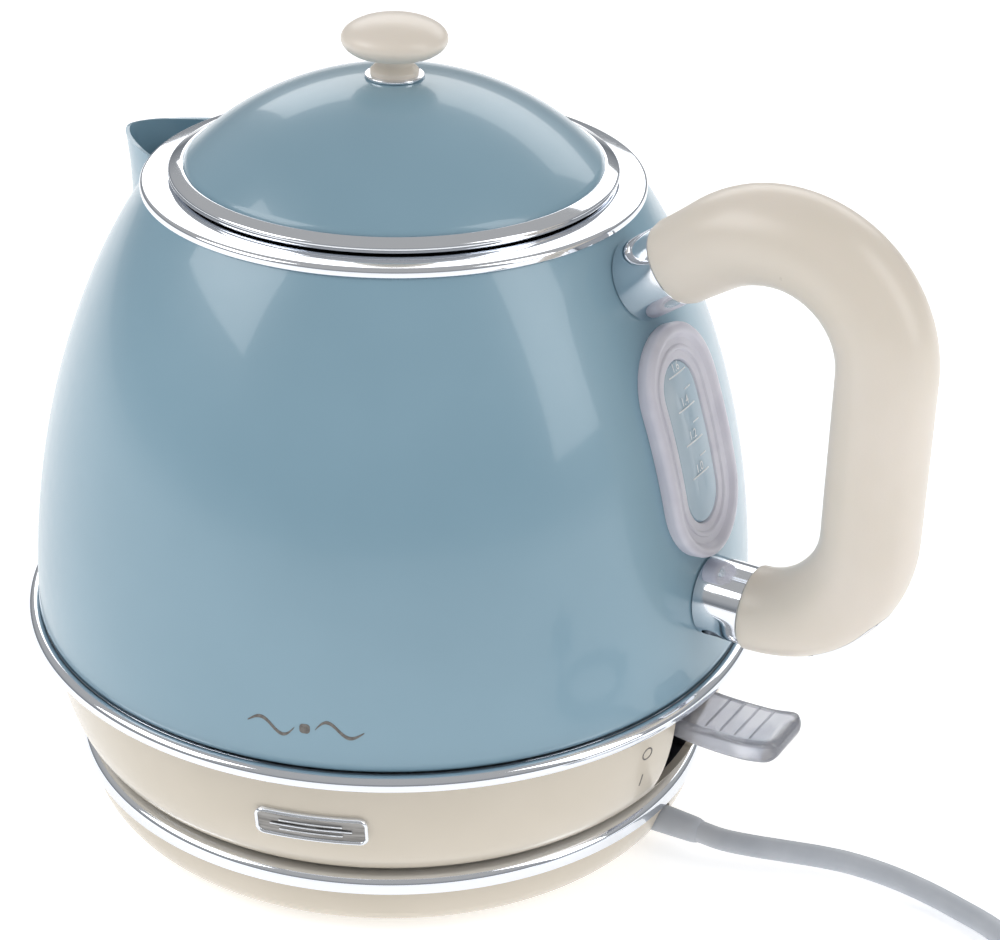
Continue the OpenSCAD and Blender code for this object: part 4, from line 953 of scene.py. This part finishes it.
# Printed ornament over the badge: a lozenge between two waves, in the same grey ink
ornament_z = ring_z + 14.4
ornament = [slab_on(on_side, "lozenge", 1.3, 1.3, 0.9, 0.0, 0.07, (0, ornament_z))]
for side in (-1, 1):
    strokes = []
    for k in range(41):
        t = k / 40
        u = side * (2.6 + 12.0 * t)
        v = ornament_z + side * 2.6 * sin(2 * pi * t) * (1 - 0.5 * t)
        half = 0.12 + 0.42 * sin(pi * t) ** 0.7
        strokes.append([on_side(u, v - half, 0.0), on_side(u, v + half, 0.0),
                        on_side(u, v + half, 0.07), on_side(u, v - half, 0.07)])
    ornament.append(skin_mesh("wave", strokes))
link_piece("printed_ornament", joined("printed_ornament", *ornament), "jug", "badge_field",
           mark_ink)


# ---- Water window ----
# A frosted acrylic bezel, clipped through the body over a silicone gasket, holds a clear strip
# with printed level lines. Its rim stands 4 mm proud and steps down to the strip.
frosted = new_material("frosted_acrylic", "#DFDEE9", 0.32, IOR=1.49, Transmission_Weight=0.12)
two_tone(frosted, grain(frosted, 0.009, 2), "#DAD9E5", "#E4E3ED")
roughness_range(frosted, grain(frosted, 0.001, 2), 0.26, 0.4)
relief(frosted, grain(frosted, 0.0004, 2), 0.00003)
bezel_profile = [(0, 0.0), (0, 2.5), (0.2, 3.15), (0.6, 3.6), (1.1, 3.8), (1.9, 3.8), (2.4, 3.65),
                 (2.8, 3.25), (3.1, 2.5), (3.4, 2.15), (5.0, 1.95), (5.3, 2.2), (5.8, 2.25),
                 (6.2, 2.05), (6.5, 1.5), (8.0, 1.3), (8.3, 1.15), (8.5, 0.8), (8.5, -4.0),
                 (6.8, -4.0), (6.8, 0.0)]
bezel_mesh = trim_on(on_body, "window_frame", bezel_half_w, bezel_half_h, bezel_half_w,
                     bezel_profile, (0, bezel_z), sharp=32)
link_piece("window_frame", bezel_mesh, "jug", "frosted_bezel", frosted, "window_bezel")

# Clear acrylic, moulded thick; its pale blue-white colour, in soft upright streaks, is painted
# reflection standing in for glare on the strip
clear = new_material("clear_acrylic_painted_glare", "#CDDEEA", 0.05, IOR=1.49, Transmission_Weight=0.12)
# painted reflection: pale upright streaks laid into the strip's own colour
two_tone(clear, grain(clear, 0.014, 2, (1, 1, 0.3)), "#A9C4D6", "#CFE0EC")
relief(clear, grain(clear, 0.006, 1), 0.00004, 0.2)
lens_half_w = bezel_half_w - 8.6
lens_half_h = bezel_half_h - 8.6
strip_face = 0.8
lens = slab_on(on_body, "window_strip", lens_half_w, lens_half_h, lens_half_w, -3.6, strip_face,
               (0, bezel_z), 0.4)
link_piece("window_strip", lens, "jug", "clear_window", clear, "window_lens")

# Level lines and their figures, printed white on the strip's face
white_ink = new_material("printed_white_ink", "#FBFCFD", 0.45)
two_tone(white_ink, grain(white_ink, 0.0008, 2), "#F2F4F6", "#FFFFFF")


def figures_mesh(words, size, u, z):
    """Small printed figures laid on the window's strip."""
    text = bpy.data.curves.new("figures", "FONT")
    text.body = words
    text.size = size
    text.align_x = "CENTER"
    text.resolution_u = 4
    holder = bpy.data.objects.new("figures", text)
    scene.collection.objects.link(holder)
    bpy.context.view_layer.update()
    ready = holder.evaluated_get(bpy.context.evaluated_depsgraph_get())
    mesh = bpy.data.meshes.new_from_object(ready)
    bpy.data.objects.remove(holder)
    for v in mesh.vertices:
        v.co = on_body(u + v.co.x, z + v.co.y, strip_face + 0.06)
    return mesh


level_marks = []
for litres, up in (("1.0", 59.8), ("1.2", 68.3), ("1.4", 76.8), ("1.6", 85.3)):
    z = ring_z + up
    level_marks.append(slab_on(on_body, "level_line", 4.3, 0.16, 0.15, strip_face - 0.02,
                               strip_face + 0.08, (0.6, z)))
    level_marks.append(figures_mesh(litres, 3.1, 0.4, z + 0.7))
for up in (64.0, 72.6, 81.0):
    level_marks.append(slab_on(on_body, "half_line", 1.6, 0.12, 0.1, strip_face - 0.02,
                               strip_face + 0.08, (3.3, ring_z + up)))
link_piece("level_marks", joined("level_marks", *level_marks), "jug", "frosted_bezel", white_ink)


# ---- Handle ----
# A hollow ivory grip over a nylon core, in one sweep from the lower ferrule up and over to the
# upper one. Each ferrule is a short chromed tube, held by a screw sunk into its underside.
column_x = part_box("handle_grip")[1].x / mm - 12.2
bend_r = 29.0
bend_x = column_x - bend_r
ferrule_low, ferrule_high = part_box("ferrule_lower")
ferrule_z = (ferrule_low.z + ferrule_high.z) / 2 / mm
ferrule_r = ferrule_high.y / mm
low_bend_z = ferrule_z + bend_r
upper_tilt = 35.0
upper_foot_z = ring_z + 108.0
upper_foot_x = dome(upper_foot_z)
upper_run = (bend_x - bend_r * sin(radians(upper_tilt)) - upper_foot_x) / cos(radians(upper_tilt))
top_bend_z = (upper_foot_z + upper_run * sin(radians(upper_tilt))
              - bend_r * cos(radians(upper_tilt)))
ferrule_length = 12.0
screw_turn = 42
screw_along = 4.6
grip_mid_r = 12.2
grip_end_r = 11.0


def grip_line():
    """The grip's centre line in millimetres, from the lower ferrule to the upper one."""
    points = [(bend_x - 0.1 + 0.02 * k, ferrule_z) for k in range(3)]
    points += [(bend_x + bend_r * cos(radians(a)), low_bend_z + bend_r * sin(radians(a)))
               for a in range(-87, 1, 3)]
    points += [(column_x, low_bend_z + (top_bend_z - low_bend_z) * k / 12) for k in range(1, 12)]
    points += [(bend_x + bend_r * cos(radians(a)), top_bend_z + bend_r * sin(radians(a)))
               for a in range(0, 91 + int(upper_tilt), 3)]
    last = points[-1]
    end = (upper_foot_x + ferrule_length * cos(radians(upper_tilt)),
           upper_foot_z + ferrule_length * sin(radians(upper_tilt)))
    points += [(last[0] + (end[0] - last[0]) * k / 8, last[1] + (end[1] - last[1]) * k / 8)
               for k in range(1, 9)]
    return [Vector((x, 0, z)) * mm for x, z in points]


grip_path = grip_line()
grip_total = sum((b - a).length for a, b in zip(grip_path, grip_path[1:]))


def grip_radius(walked):
    """The grip's radius in metres, after so many metres along its centre line."""
    swell = min(1, 1.9 * sin(pi * walked / grip_total))
    return (grip_end_r + (grip_mid_r - grip_end_r) * smooth(swell)) * mm


grip_radii = []
walked = 0.0
for i, here in enumerate(grip_path):
    walked += (here - grip_path[i - 1]).length if i else 0
    grip_radii.append(grip_radius(walked))
# a small round-over where the grip meets each ferrule
start_way = (grip_path[3] - grip_path[0]).normalized()
grip_radii[0] = grip_radii[-1] = (grip_end_r - 0.5) * mm
grip_radii[1] = (grip_end_r - 0.15) * mm
grip_path[1] = grip_path[0] + start_way * 0.15 * mm
grip_path[2] = grip_path[0] + start_way * 0.55 * mm

plug_slant = 48.0


def on_grip(u, v, off=0.0):
    """A point over the lower bend's outside: u across, v along from the inset's middle."""
    angle = radians(-plug_slant) + v / (bend_r + grip_mid_r)
    radius = grip_radius((angle + pi / 2) * bend_r * mm) / mm
    around_grip = u / radius
    reach = bend_r + (radius + off) * cos(around_grip)
    return Vector((bend_x + reach * cos(angle), (radius + off) * sin(around_grip),
                   low_bend_z + reach * sin(angle))) * mm


# Satin ABS, injection moulded in ivory; hands keep its crown a little smoother
ivory_abs = new_material("moulded_ivory_abs", "#E6DCCF", 0.3, IOR=1.5, Subsurface_Weight=0.06)
shader_socket(ivory_abs, "Subsurface Radius").default_value = (0.004, 0.003, 0.002)
shader_socket(ivory_abs, "Subsurface Scale").default_value = 0.5
two_tone(ivory_abs, grain(ivory_abs, 0.04, 3), "#E3D9CB", "#E9DFD3")
roughness_range(ivory_abs, grain(ivory_abs, 0.003, 3), 0.25, 0.36)
relief(ivory_abs, grain(ivory_abs, 0.0006, 2), 0.00003, 0.4)
grip_mesh = tube_mesh("ivory_grip", grip_path, grip_radii, 72)
inset_groove = trim_on(on_grip, "inset_groove", 6.1, 14.1, 6.1,
                       [(0, -1.6), (0, 2), (1.1, 2), (1.1, -1.6)], (0, 0))
inset_sink = slab_on(on_grip, "inset_sink", 5.6, 13.6, 5.6, -0.3, 2, (0, 0))
grip_mesh = cut(grip_mesh, inset_groove, inset_sink, sharp=40)
link_piece("ivory_grip", grip_mesh, "jug", "ivory_plastic", ivory_abs, "handle_grip", "handle_core",
           "grip_plug")
inset_mesh = trim_on(on_grip, "inset_edge", 5.85, 13.85, 5.85,
                     [(0, -1.5), (0, 0.0), (0.15, 0.12), (0.4, 0.12), (0.55, 0.0), (0.55, -1.5)],
                     (0, 0))
link_piece("inset_edge", inset_mesh, "jug", "chrome_trim", chrome)


def ferrule_mesh(name, profile, seat, place):
    """A chromed tube. Profile is (step, radius); steps of less than 1 mm start at the body's side,
    which is seat(across, up) away, and place turns along, across and up into a point."""
    loops = []
    sides = 96
    for step, radius in profile:
        loop = []
        for k in range(sides):
            turn = 2 * pi * k / sides
            across, up = radius * cos(turn), radius * sin(turn)
            along = seat(across, up) + step if step < 1 else step
            loop.append(place(along, across, up) * mm)
        loops.append(loop)
    return skin_mesh(name, loops, True)


def lower_seat(across, up):
    """How far along the lower axis the body's side lies, for a place on the tube's wall."""
    return sqrt(max(0, dome(ferrule_z + up) ** 2 - across ** 2)) + 0.1 - dome(ferrule_z)


def lower_place(along, across, up):
    return Vector((dome(ferrule_z) + along, across, ferrule_z + up))


lower_length = bend_x - 0.2 - dome(ferrule_z)
lower_mesh = ferrule_mesh("lower_ferrule_tube", [
    (0, ferrule_r - 1.6), (0, ferrule_r - 0.3), (0.35, ferrule_r), (lower_length - 0.4, ferrule_r),
    (lower_length, ferrule_r - 0.4), (lower_length, ferrule_r - 3.5)], lower_seat, lower_place)
screw_hole = turned_mesh("screw_hole", [(0, -ferrule_r - 2), (3.1, -ferrule_r - 2),
                                        (3.1, -ferrule_r + 6), (0, -ferrule_r + 6)], segments=48)
moved(screw_hole, "X", -screw_turn, lower_place(screw_along, 0, 0) * mm)
link_piece("lower_ferrule_tube", cut(lower_mesh, screw_hole), "jug", "chrome_trim", chrome,
           "ferrule_lower")

# The upper ferrule is the same tube, turned up and seated on the shoulder of the dome
upper_axis = Vector((cos(radians(upper_tilt)), 0, sin(radians(upper_tilt))))
upper_up = Vector((-sin(radians(upper_tilt)), 0, cos(radians(upper_tilt))))


def upper_place(along, across, up):
    return (Vector((upper_foot_x, 0, upper_foot_z)) + upper_axis * along + upper_up * up
            + Vector((0, across, 0)))


def upper_seat(across, up):
    """The same as lower_seat for the tilted axis, found by halving."""
    low, high = -14.0, 14.0
    for _ in range(40):
        half = (low + high) / 2
        p = upper_place(half, across, up)
        inside = sqrt(p.x ** 2 + p.y ** 2) < dome(min(p.z, mouth_z + 6))
        low, high = (half, high) if inside else (low, half)
    return half + 0.1


upper_length = ferrule_length - 0.1
upper_mesh = ferrule_mesh("upper_ferrule_tube", [
    (0, ferrule_r - 3.5), (0, ferrule_r - 0.3), (0.35, ferrule_r), (upper_length - 0.4, ferrule_r),
    (upper_length, ferrule_r - 0.4), (upper_length, ferrule_r - 3.5)], upper_seat, upper_place)
link_piece("upper_ferrule_tube", upper_mesh, "jug", "chrome_trim", chrome, "ferrule_upper")


# ---- Switch lever ----
# A paddle of smoky clear polycarbonate on a steel pin. It droops a little from its slot, lifts
# again at a rounded tip, and has four fine cross ribs that the thumb feels.
smoky = new_material("smoky_clear_polycarbonate", "#D3D5DE", 0.1, IOR=1.585,
                     Transmission_Weight=0.72)
two_tone(smoky, grain(smoky, 0.008, 3), "#C9CBD5", "#DCDEE5")
roughness_range(smoky, grain(smoky, 0.002, 3), 0.08, 0.2)
pivot_x = skirt_top_r - 15
pivot_z = ring_z - 8.5
tip_x = lever_high.x / mm
lever_t = 6.4


def lever_section(t):
    """Middle height, half width, half thickness of the lever at t along its length, from 0 to 1."""
    droop = -1.6 * sin(pi * t) - 0.6 * t + 0.9 * smooth((t - 0.75) / 0.25)
    half_t = lever_t / 2 * (0.86 + 0.14 * smooth(t * 1.4))
    return pivot_z - 0.4 + droop, lever_half - 0.15, half_t


paddle_start = pivot_x + 1
paddle_run = tip_x - paddle_start
lever_loops = []
for k in range(61):
    t = k / 60
    x = paddle_start + paddle_run * t
    middle, half_w, half_t = lever_section(t)
    near_end = tip_x - x
    shrink = sqrt(max(0.0, 1 - max(0, 1 - near_end / 3.2) ** 2))
    narrow = 4.5 * (1 - sqrt(max(0.0, 1 - max(0, 1 - near_end / 4.5) ** 2)))
    section = rounded_loop(max(0.4, half_w - narrow), max(0.25, half_t * shrink),
                           max(0.2, min(2.0, half_t * shrink)), 6, 8)
    lever_loops.append([Vector((x, u, middle + v)) * mm for u, v in section])
lever_body = skin_mesh("lever_paddle", lever_loops)
hub_half = lever_half - 0.2
lever_hub = moved(turned_mesh("lever_hub", [(1.56, -hub_half), (4.1, -hub_half, 0.5),
                                            (4.1, hub_half, 0.5), (1.56, hub_half)], segments=64),
                  "X", 90, (pivot_x * mm, 0, pivot_z * mm))


def ribs_tree():
    """A straight row of bars: inputs Count, Pitch, Rib length, Rib width, Rib height, Finish."""
    tree = bpy.data.node_groups.new("row_of_ribs", "GeometryNodeTree")
    face = tree.interface
    face.new_socket("Geometry", in_out="INPUT", socket_type="NodeSocketGeometry")
    face.new_socket("Count", in_out="INPUT", socket_type="NodeSocketInt")
    for name in ("Pitch", "Rib length", "Rib width", "Rib height"):
        face.new_socket(name, in_out="INPUT", socket_type="NodeSocketFloat")
    face.new_socket("Finish", in_out="INPUT", socket_type="NodeSocketMaterial")
    face.new_socket("Geometry", in_out="OUTPUT", socket_type="NodeSocketGeometry")
    given = add_node(tree, "NodeGroupInput").outputs
    step = add_node(tree, "ShaderNodeCombineXYZ", {"X": given["Pitch"]})
    row = add_node(tree, "GeometryNodeMeshLine",
                   {"Count": given["Count"], "Offset": step.outputs[0]})
    size = add_node(tree, "ShaderNodeCombineXYZ",
                    {"X": given["Rib width"], "Y": given["Rib length"], "Z": given["Rib height"]})
    bar = add_node(tree, "GeometryNodeMeshCube", {"Size": size.outputs[0]})
    placed = add_node(tree, "GeometryNodeInstanceOnPoints",
                      {"Points": row.outputs[0], "Instance": bar.outputs["Mesh"]})
    real = add_node(tree, "GeometryNodeRealizeInstances", {"Geometry": placed.outputs[0]})
    finish = add_node(tree, "GeometryNodeSetMaterial",
                      {"Geometry": real.outputs[0], "Material": given["Finish"]})
    add_node(tree, "NodeGroupOutput", {"Geometry": finish.outputs[0]})
    return tree


rib_row = ribs_tree()


def rib_mesh(name, count, pitch, length, width, height, material):
    """A row of ribs along +X from the origin, sizes in millimetres."""
    return run_tree(name, rib_row, **{
        "Count": count, "Pitch": pitch * mm, "Rib length": length * mm, "Rib width": width * mm,
        "Rib height": height * mm, "Finish": material})


lever_ribs = rib_mesh("lever_ribs", 4, 4.2, 2 * lever_half - 5, 0.5, 0.5, smoky)
rib_start = tip_x - 21
for v in lever_ribs.vertices:
    v.co.x += rib_start * mm
    middle, _, half_t = lever_section((v.co.x / mm - paddle_start) / paddle_run)
    v.co.z += (middle + half_t) * mm
lever_mesh = joined("lever_paddle", lever_body, lever_hub, lever_ribs)
link_piece("lever_paddle", lever_mesh, "lever", "smoke_lever", smoky, "switch_lever")


# ---- Spout ----
# A short V-shaped lip of the same painted sheet, welded over the strainer's opening. It swells
# out of the dome's side and ends in a level, slightly flared edge.
spout_low, spout_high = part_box("spout")
spout_foot = spout_low.z / mm
spout_top = spout_high.z / mm
spout_reach = -spout_low.x / mm - dome(spout_top - 4)


def spout_point(t, s):
    """A point of the lip: t from foot to edge, s from one root to the other."""
    z = spout_foot + (spout_top - spout_foot) * t
    half = 5 + 15 * smooth(t ** 0.8)
    reach = (spout_reach - 1.2) * (0.18 * t + 0.82 * t ** 2.1)
    y = s * half
    nose = 1 - abs(s) ** 1.7
    root = sqrt(max(0, dome(z) ** 2 - y ** 2)) - 0.4
    return Vector((-(root + reach * nose), y, z)) * mm


spout_sides = 48
spout_data = bmesh.new()
spout_verts = [[spout_data.verts.new(spout_point(i / 32, 2 * k / spout_sides - 1))
                for k in range(spout_sides + 1)] for i in range(33)]
for low, high in zip(spout_verts, spout_verts[1:]):
    for k in range(spout_sides):
        spout_data.faces.new((low[k], low[k + 1], high[k + 1], high[k]))
bmesh.ops.recalc_face_normals(spout_data, faces=spout_data.faces)
spout_mesh = finished_mesh("spout_lip", spout_data)
spout_piece = bpy.data.objects.new("spout_lip_start", spout_mesh)
scene.collection.objects.link(spout_piece)
wall = spout_piece.modifiers.new("wall", "SOLIDIFY")
spout_sheet = 1.1
wall.thickness = spout_sheet * mm
wall.offset = -1 if spout_mesh.polygons[0].normal.x < 0 else 1
bake_modifiers(spout_piece, 40)
spout_mesh = spout_piece.data
bpy.data.objects.remove(spout_piece)
link_piece("spout_lip", spout_mesh, "jug", "blue_paint", blue_enamel, "spout")


# ---- Collar and lid ----
# A chrome collar finishes the jug's mouth. The lid is a painted dome in a chrome rim over a
# steel plug with a silicone lip, and its ivory knob is held by a screw from inside.
mouth_r = dome(mouth_z)
lid_r = mouth_r - 7.5
collar_in = lid_r - 3
lid_z = mouth_z + 3.4
collar_profile = [(collar_in, mouth_z - 8), (collar_in + 1, mouth_z - 8, 0.3),
                  (collar_in + 1, mouth_z + 0.1), (mouth_r - 0.6, mouth_z + 0.1, 0.1),
                  (mouth_r + 0.6, mouth_z + 0.2, 0.5), (mouth_r + 0.6, mouth_z + 2.5, 1.1),
                  (lid_r + 1.2, lid_z - 0.5, 0.8), (lid_r - 1.6, lid_z - 0.5, 0.4),
                  (collar_in, lid_z - 1.2, 0.6)]
link_piece("mouth_collar", turned_mesh("mouth_collar", collar_profile, segments=256), "jug",
           "chrome_trim", chrome, "top_collar")

lid_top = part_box("lid_shell")[1].z / mm
lid_rise = lid_top - lid_z
lid_curve = (lid_r ** 2 + lid_rise ** 2) / (2 * lid_rise)
lid_edge = lid_r - 3


def lid_height(r, off=0.0):
    return lid_top - lid_curve + sqrt((lid_curve - off) ** 2 - r * r)


lid_outside = [(lid_edge * (1 - i / 40), lid_height(lid_edge * (1 - i / 40))) for i in range(40)]
lid_inside = [(r, lid_height(r, 1.0)) for r, _ in reversed(lid_outside)]
lid_profile = lid_outside + [(0, lid_top), (0, lid_top - 1)] + lid_inside
link_piece("lid_dome", turned_mesh("lid_dome", lid_profile, segments=224, sharp=50), "lid",
           "blue_paint", blue_enamel, "lid_shell")
rim_profile = [(lid_r - 6, lid_z - 0.2), (lid_r - 0.2, lid_z - 0.2, 0.2),
               (lid_r + 0.9, lid_z + 0.2, 0.8), (lid_r + 0.8, lid_z + 1.8, 0.9),
               (lid_r - 2.4, lid_z + 3.1, 0.4), (lid_r - 2.9, lid_z + 3.0),
               (lid_r - 2.9, lid_z + 1), (lid_r - 6, lid_z + 1)]
link_piece("lid_chrome_rim", turned_mesh("lid_chrome_rim", rim_profile, segments=256), "lid",
           "chrome_trim", chrome, "lid_rim")

knob_low, knob_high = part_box("lid_knob")
knob_r = knob_high.x / mm
knob_foot = knob_low.z / mm
knob_top = knob_high.z / mm
knob_profile = [(0, knob_foot), (6.2, knob_foot), (6.2, knob_foot + 1.4, 0.6),
                (4.6, knob_foot + 3.0, 1.2), (4.7, knob_foot + 4.6, 0.8),
                (8.5, knob_foot + 5.6, 1.5)]
knob_profile += [(knob_r * cos(radians(a)), knob_top - 5.6 + 5.6 * sin(radians(a)))
                 for a in range(-36, 90, 6)]
knob_profile.append((0, knob_top))
link_piece("lid_knob_ball", turned_mesh("lid_knob_ball", knob_profile, segments=128), "lid",
           "ivory_plastic", ivory_abs, "lid_knob")
# thin chrome washer under the knob
washer = turned_mesh("knob_washer", [(3, knob_foot - 0.1), (7.6, knob_foot - 0.5, 0.2),
                                     (7.6, knob_foot + 0.35, 0.3), (3, knob_foot + 0.4)],
                     segments=96)
link_piece("knob_washer", washer, "lid", "chrome_trim", chrome)

# Satin stainless, drawn and brushed: the plug of the lid, the strainer and the heater's plate
satin = new_material("satin_stainless", "#B8BABD", 0.3, Metallic=1.0)
two_tone(satin, grain(satin, 0.002, 3, (1, 1, 0.1)), "#A9ABAF", "#C6C8CB")
roughness_range(satin, grain(satin, 0.001, 3, (1, 1, 0.1)), 0.24, 0.4)

# The jug's inside is the bare sheet
body_mesh.materials.append(satin)
for face in body_mesh.polygons:
    outward = Vector((face.center.x, face.center.y, 0.03))
    if face.normal.dot(outward) < 0:
        face.material_index = 1

# Strainer: an ivory frame with a woven steel mesh, drawn coarser than the real 0.5 mm weave
mesh_low, mesh_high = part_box("filter_mesh")
weave_pitch = 1.4
wire_w = 0.4
weave_depth = 2.2
weave_w = (mesh_high.y - mesh_low.y) / mm
weave_h = (mesh_high.z - mesh_low.z) / mm
across_count = int(weave_w / weave_pitch)
up_count = int(weave_h / weave_pitch)
uprights = rib_mesh("uprights", across_count, weave_pitch, wire_w, wire_w, weave_h, satin)
levels = rib_mesh("levels", up_count, weave_pitch, weave_w, wire_w, wire_w, satin)
weave_z = (mesh_low.z + mesh_high.z) / 2 / mm
for v in uprights.vertices:
    y = v.co.x / mm - weave_w / 2 + weave_pitch / 2
    z = weave_z + v.co.z / mm
    v.co = Vector((-sqrt(dome(z) ** 2 - y ** 2) + weave_depth + v.co.y / mm, y, z)) * mm
level_data = bmesh.new()
level_data.from_mesh(levels)
bmesh.ops.subdivide_edges(level_data, edges=[e for e in level_data.edges
                                             if abs(e.verts[0].co.y - e.verts[1].co.y) > 0.005],
                          cuts=10)
for v in level_data.verts:
    y = v.co.y / mm
    z = weave_z - weave_h / 2 + weave_pitch / 2 + v.co.x / mm
    v.co = Vector((-sqrt(dome(z) ** 2 - y ** 2) + weave_depth + v.co.z / mm, y, z)) * mm
level_data.to_mesh(levels)
level_data.free()
link_piece("strainer_weave", joined("strainer_weave", uprights, levels), "jug", "inner_steel",
           satin, "filter_mesh")


# ---- Underside of the jug ----
# A black cover with the socket's mouth in its middle, three screws, and the control inside.
cover_r = skirt_foot_r - skirt_wall - 0.4
control_screw_circle = 36.9
replace_screws("bottom_screws", "jug", 2.6, 1.0, 1.5, 3, cover_r - 8, 60)
replace_screws("control_screws", "jug", 2.6, 1.6, 1.5, 3, control_screw_circle, 60)


# ---- Pieces that keep their CAD shape ----
# Inner metal, seals, wires and small fittings are exact as they stand, and only take a finish.
silicone = new_material("moulded_white_silicone", "#DADAD6", 0.5, Transmission_Weight=0.1)
two_tone(silicone, grain(silicone, 0.004, 2), "#D2D2CE", "#E2E2DE")
relief(silicone, grain(silicone, 0.0008, 2), 0.00005)
aluminium = new_material("rolled_aluminium", "#C4C6C9", 0.35, Metallic=1.0)
two_tone(aluminium, grain(aluminium, 0.002, 3, (0.1, 1, 1)), "#B4B6BA", "#D0D2D4")
nylon = new_material("moulded_white_nylon", "#E6E5E0", 0.45)
two_tone(nylon, grain(nylon, 0.003, 2), "#DFDED8", "#ECEBE7")
relief(nylon, grain(nylon, 0.0007, 2), 0.00005)
lamp_amber = new_material("amber_lamp_cap", "#F08A3C", 0.2, Transmission_Weight=0.5)
two_tone(lamp_amber, grain(lamp_amber, 0.003, 2), "#E57E30", "#F79A50")
wire_pvc = new_material("extruded_wire_pvc", "#6B4A33", 0.4)
wire_tree = wire_pvc.node_tree
wire_place = add_node(wire_tree, "ShaderNodeTexCoord")
wire_side = add_node(wire_tree, "ShaderNodeSeparateXYZ", {"Vector": wire_place.outputs["Object"]})
wire_share = add_node(wire_tree, "ShaderNodeMapRange", {"Value": wire_side.outputs["Y"]},
                      From_Min=-0.0039, From_Max=0.0039)
wire_ramp = add_node(wire_tree, "ShaderNodeValToRGB", {"Fac": wire_share.outputs["Result"]})
wire_ramp.color_ramp.interpolation = "CONSTANT"
wire_ramp.color_ramp.elements[0].color = linear("#6E4527")
wire_ramp.color_ramp.elements[1].position = 0.34
wire_ramp.color_ramp.elements[1].color = linear("#2F62A8")
wire_ramp.color_ramp.elements.new(0.67).color = linear("#7F9A35")
wire_tree.links.new(wire_ramp.outputs["Color"], shader_socket(wire_pvc, "Base Color"))

kept_finishes = {
    brass: ["turret_contacts", "control_contacts", "plug_earth_clips"],
    zinc: ["clamp_screws", "knob_screw", "handle_studs", "lever_pin", "handle_screws"],
    nylon: ["cord_clamp"],
    wire_pvc: ["base_leads"],
    satin: ["heater_plate", "element_terminals", "heating_element", "bimetal_disc", "lid_inner"],
    aluminium: ["heat_spreader"],
    silicone: ["heater_seal", "window_seal", "lid_seal", "steam_tube"],
    pbt: ["bottom_cover", "control_housing"],
    lamp_amber: ["indicator_lamp"],
    ivory_abs: ["filter_frame"],
}
for finish, nodes in kept_finishes.items():
    for node in nodes:
        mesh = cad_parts[node].data
        mesh.materials.clear()
        mesh.materials.append(finish)
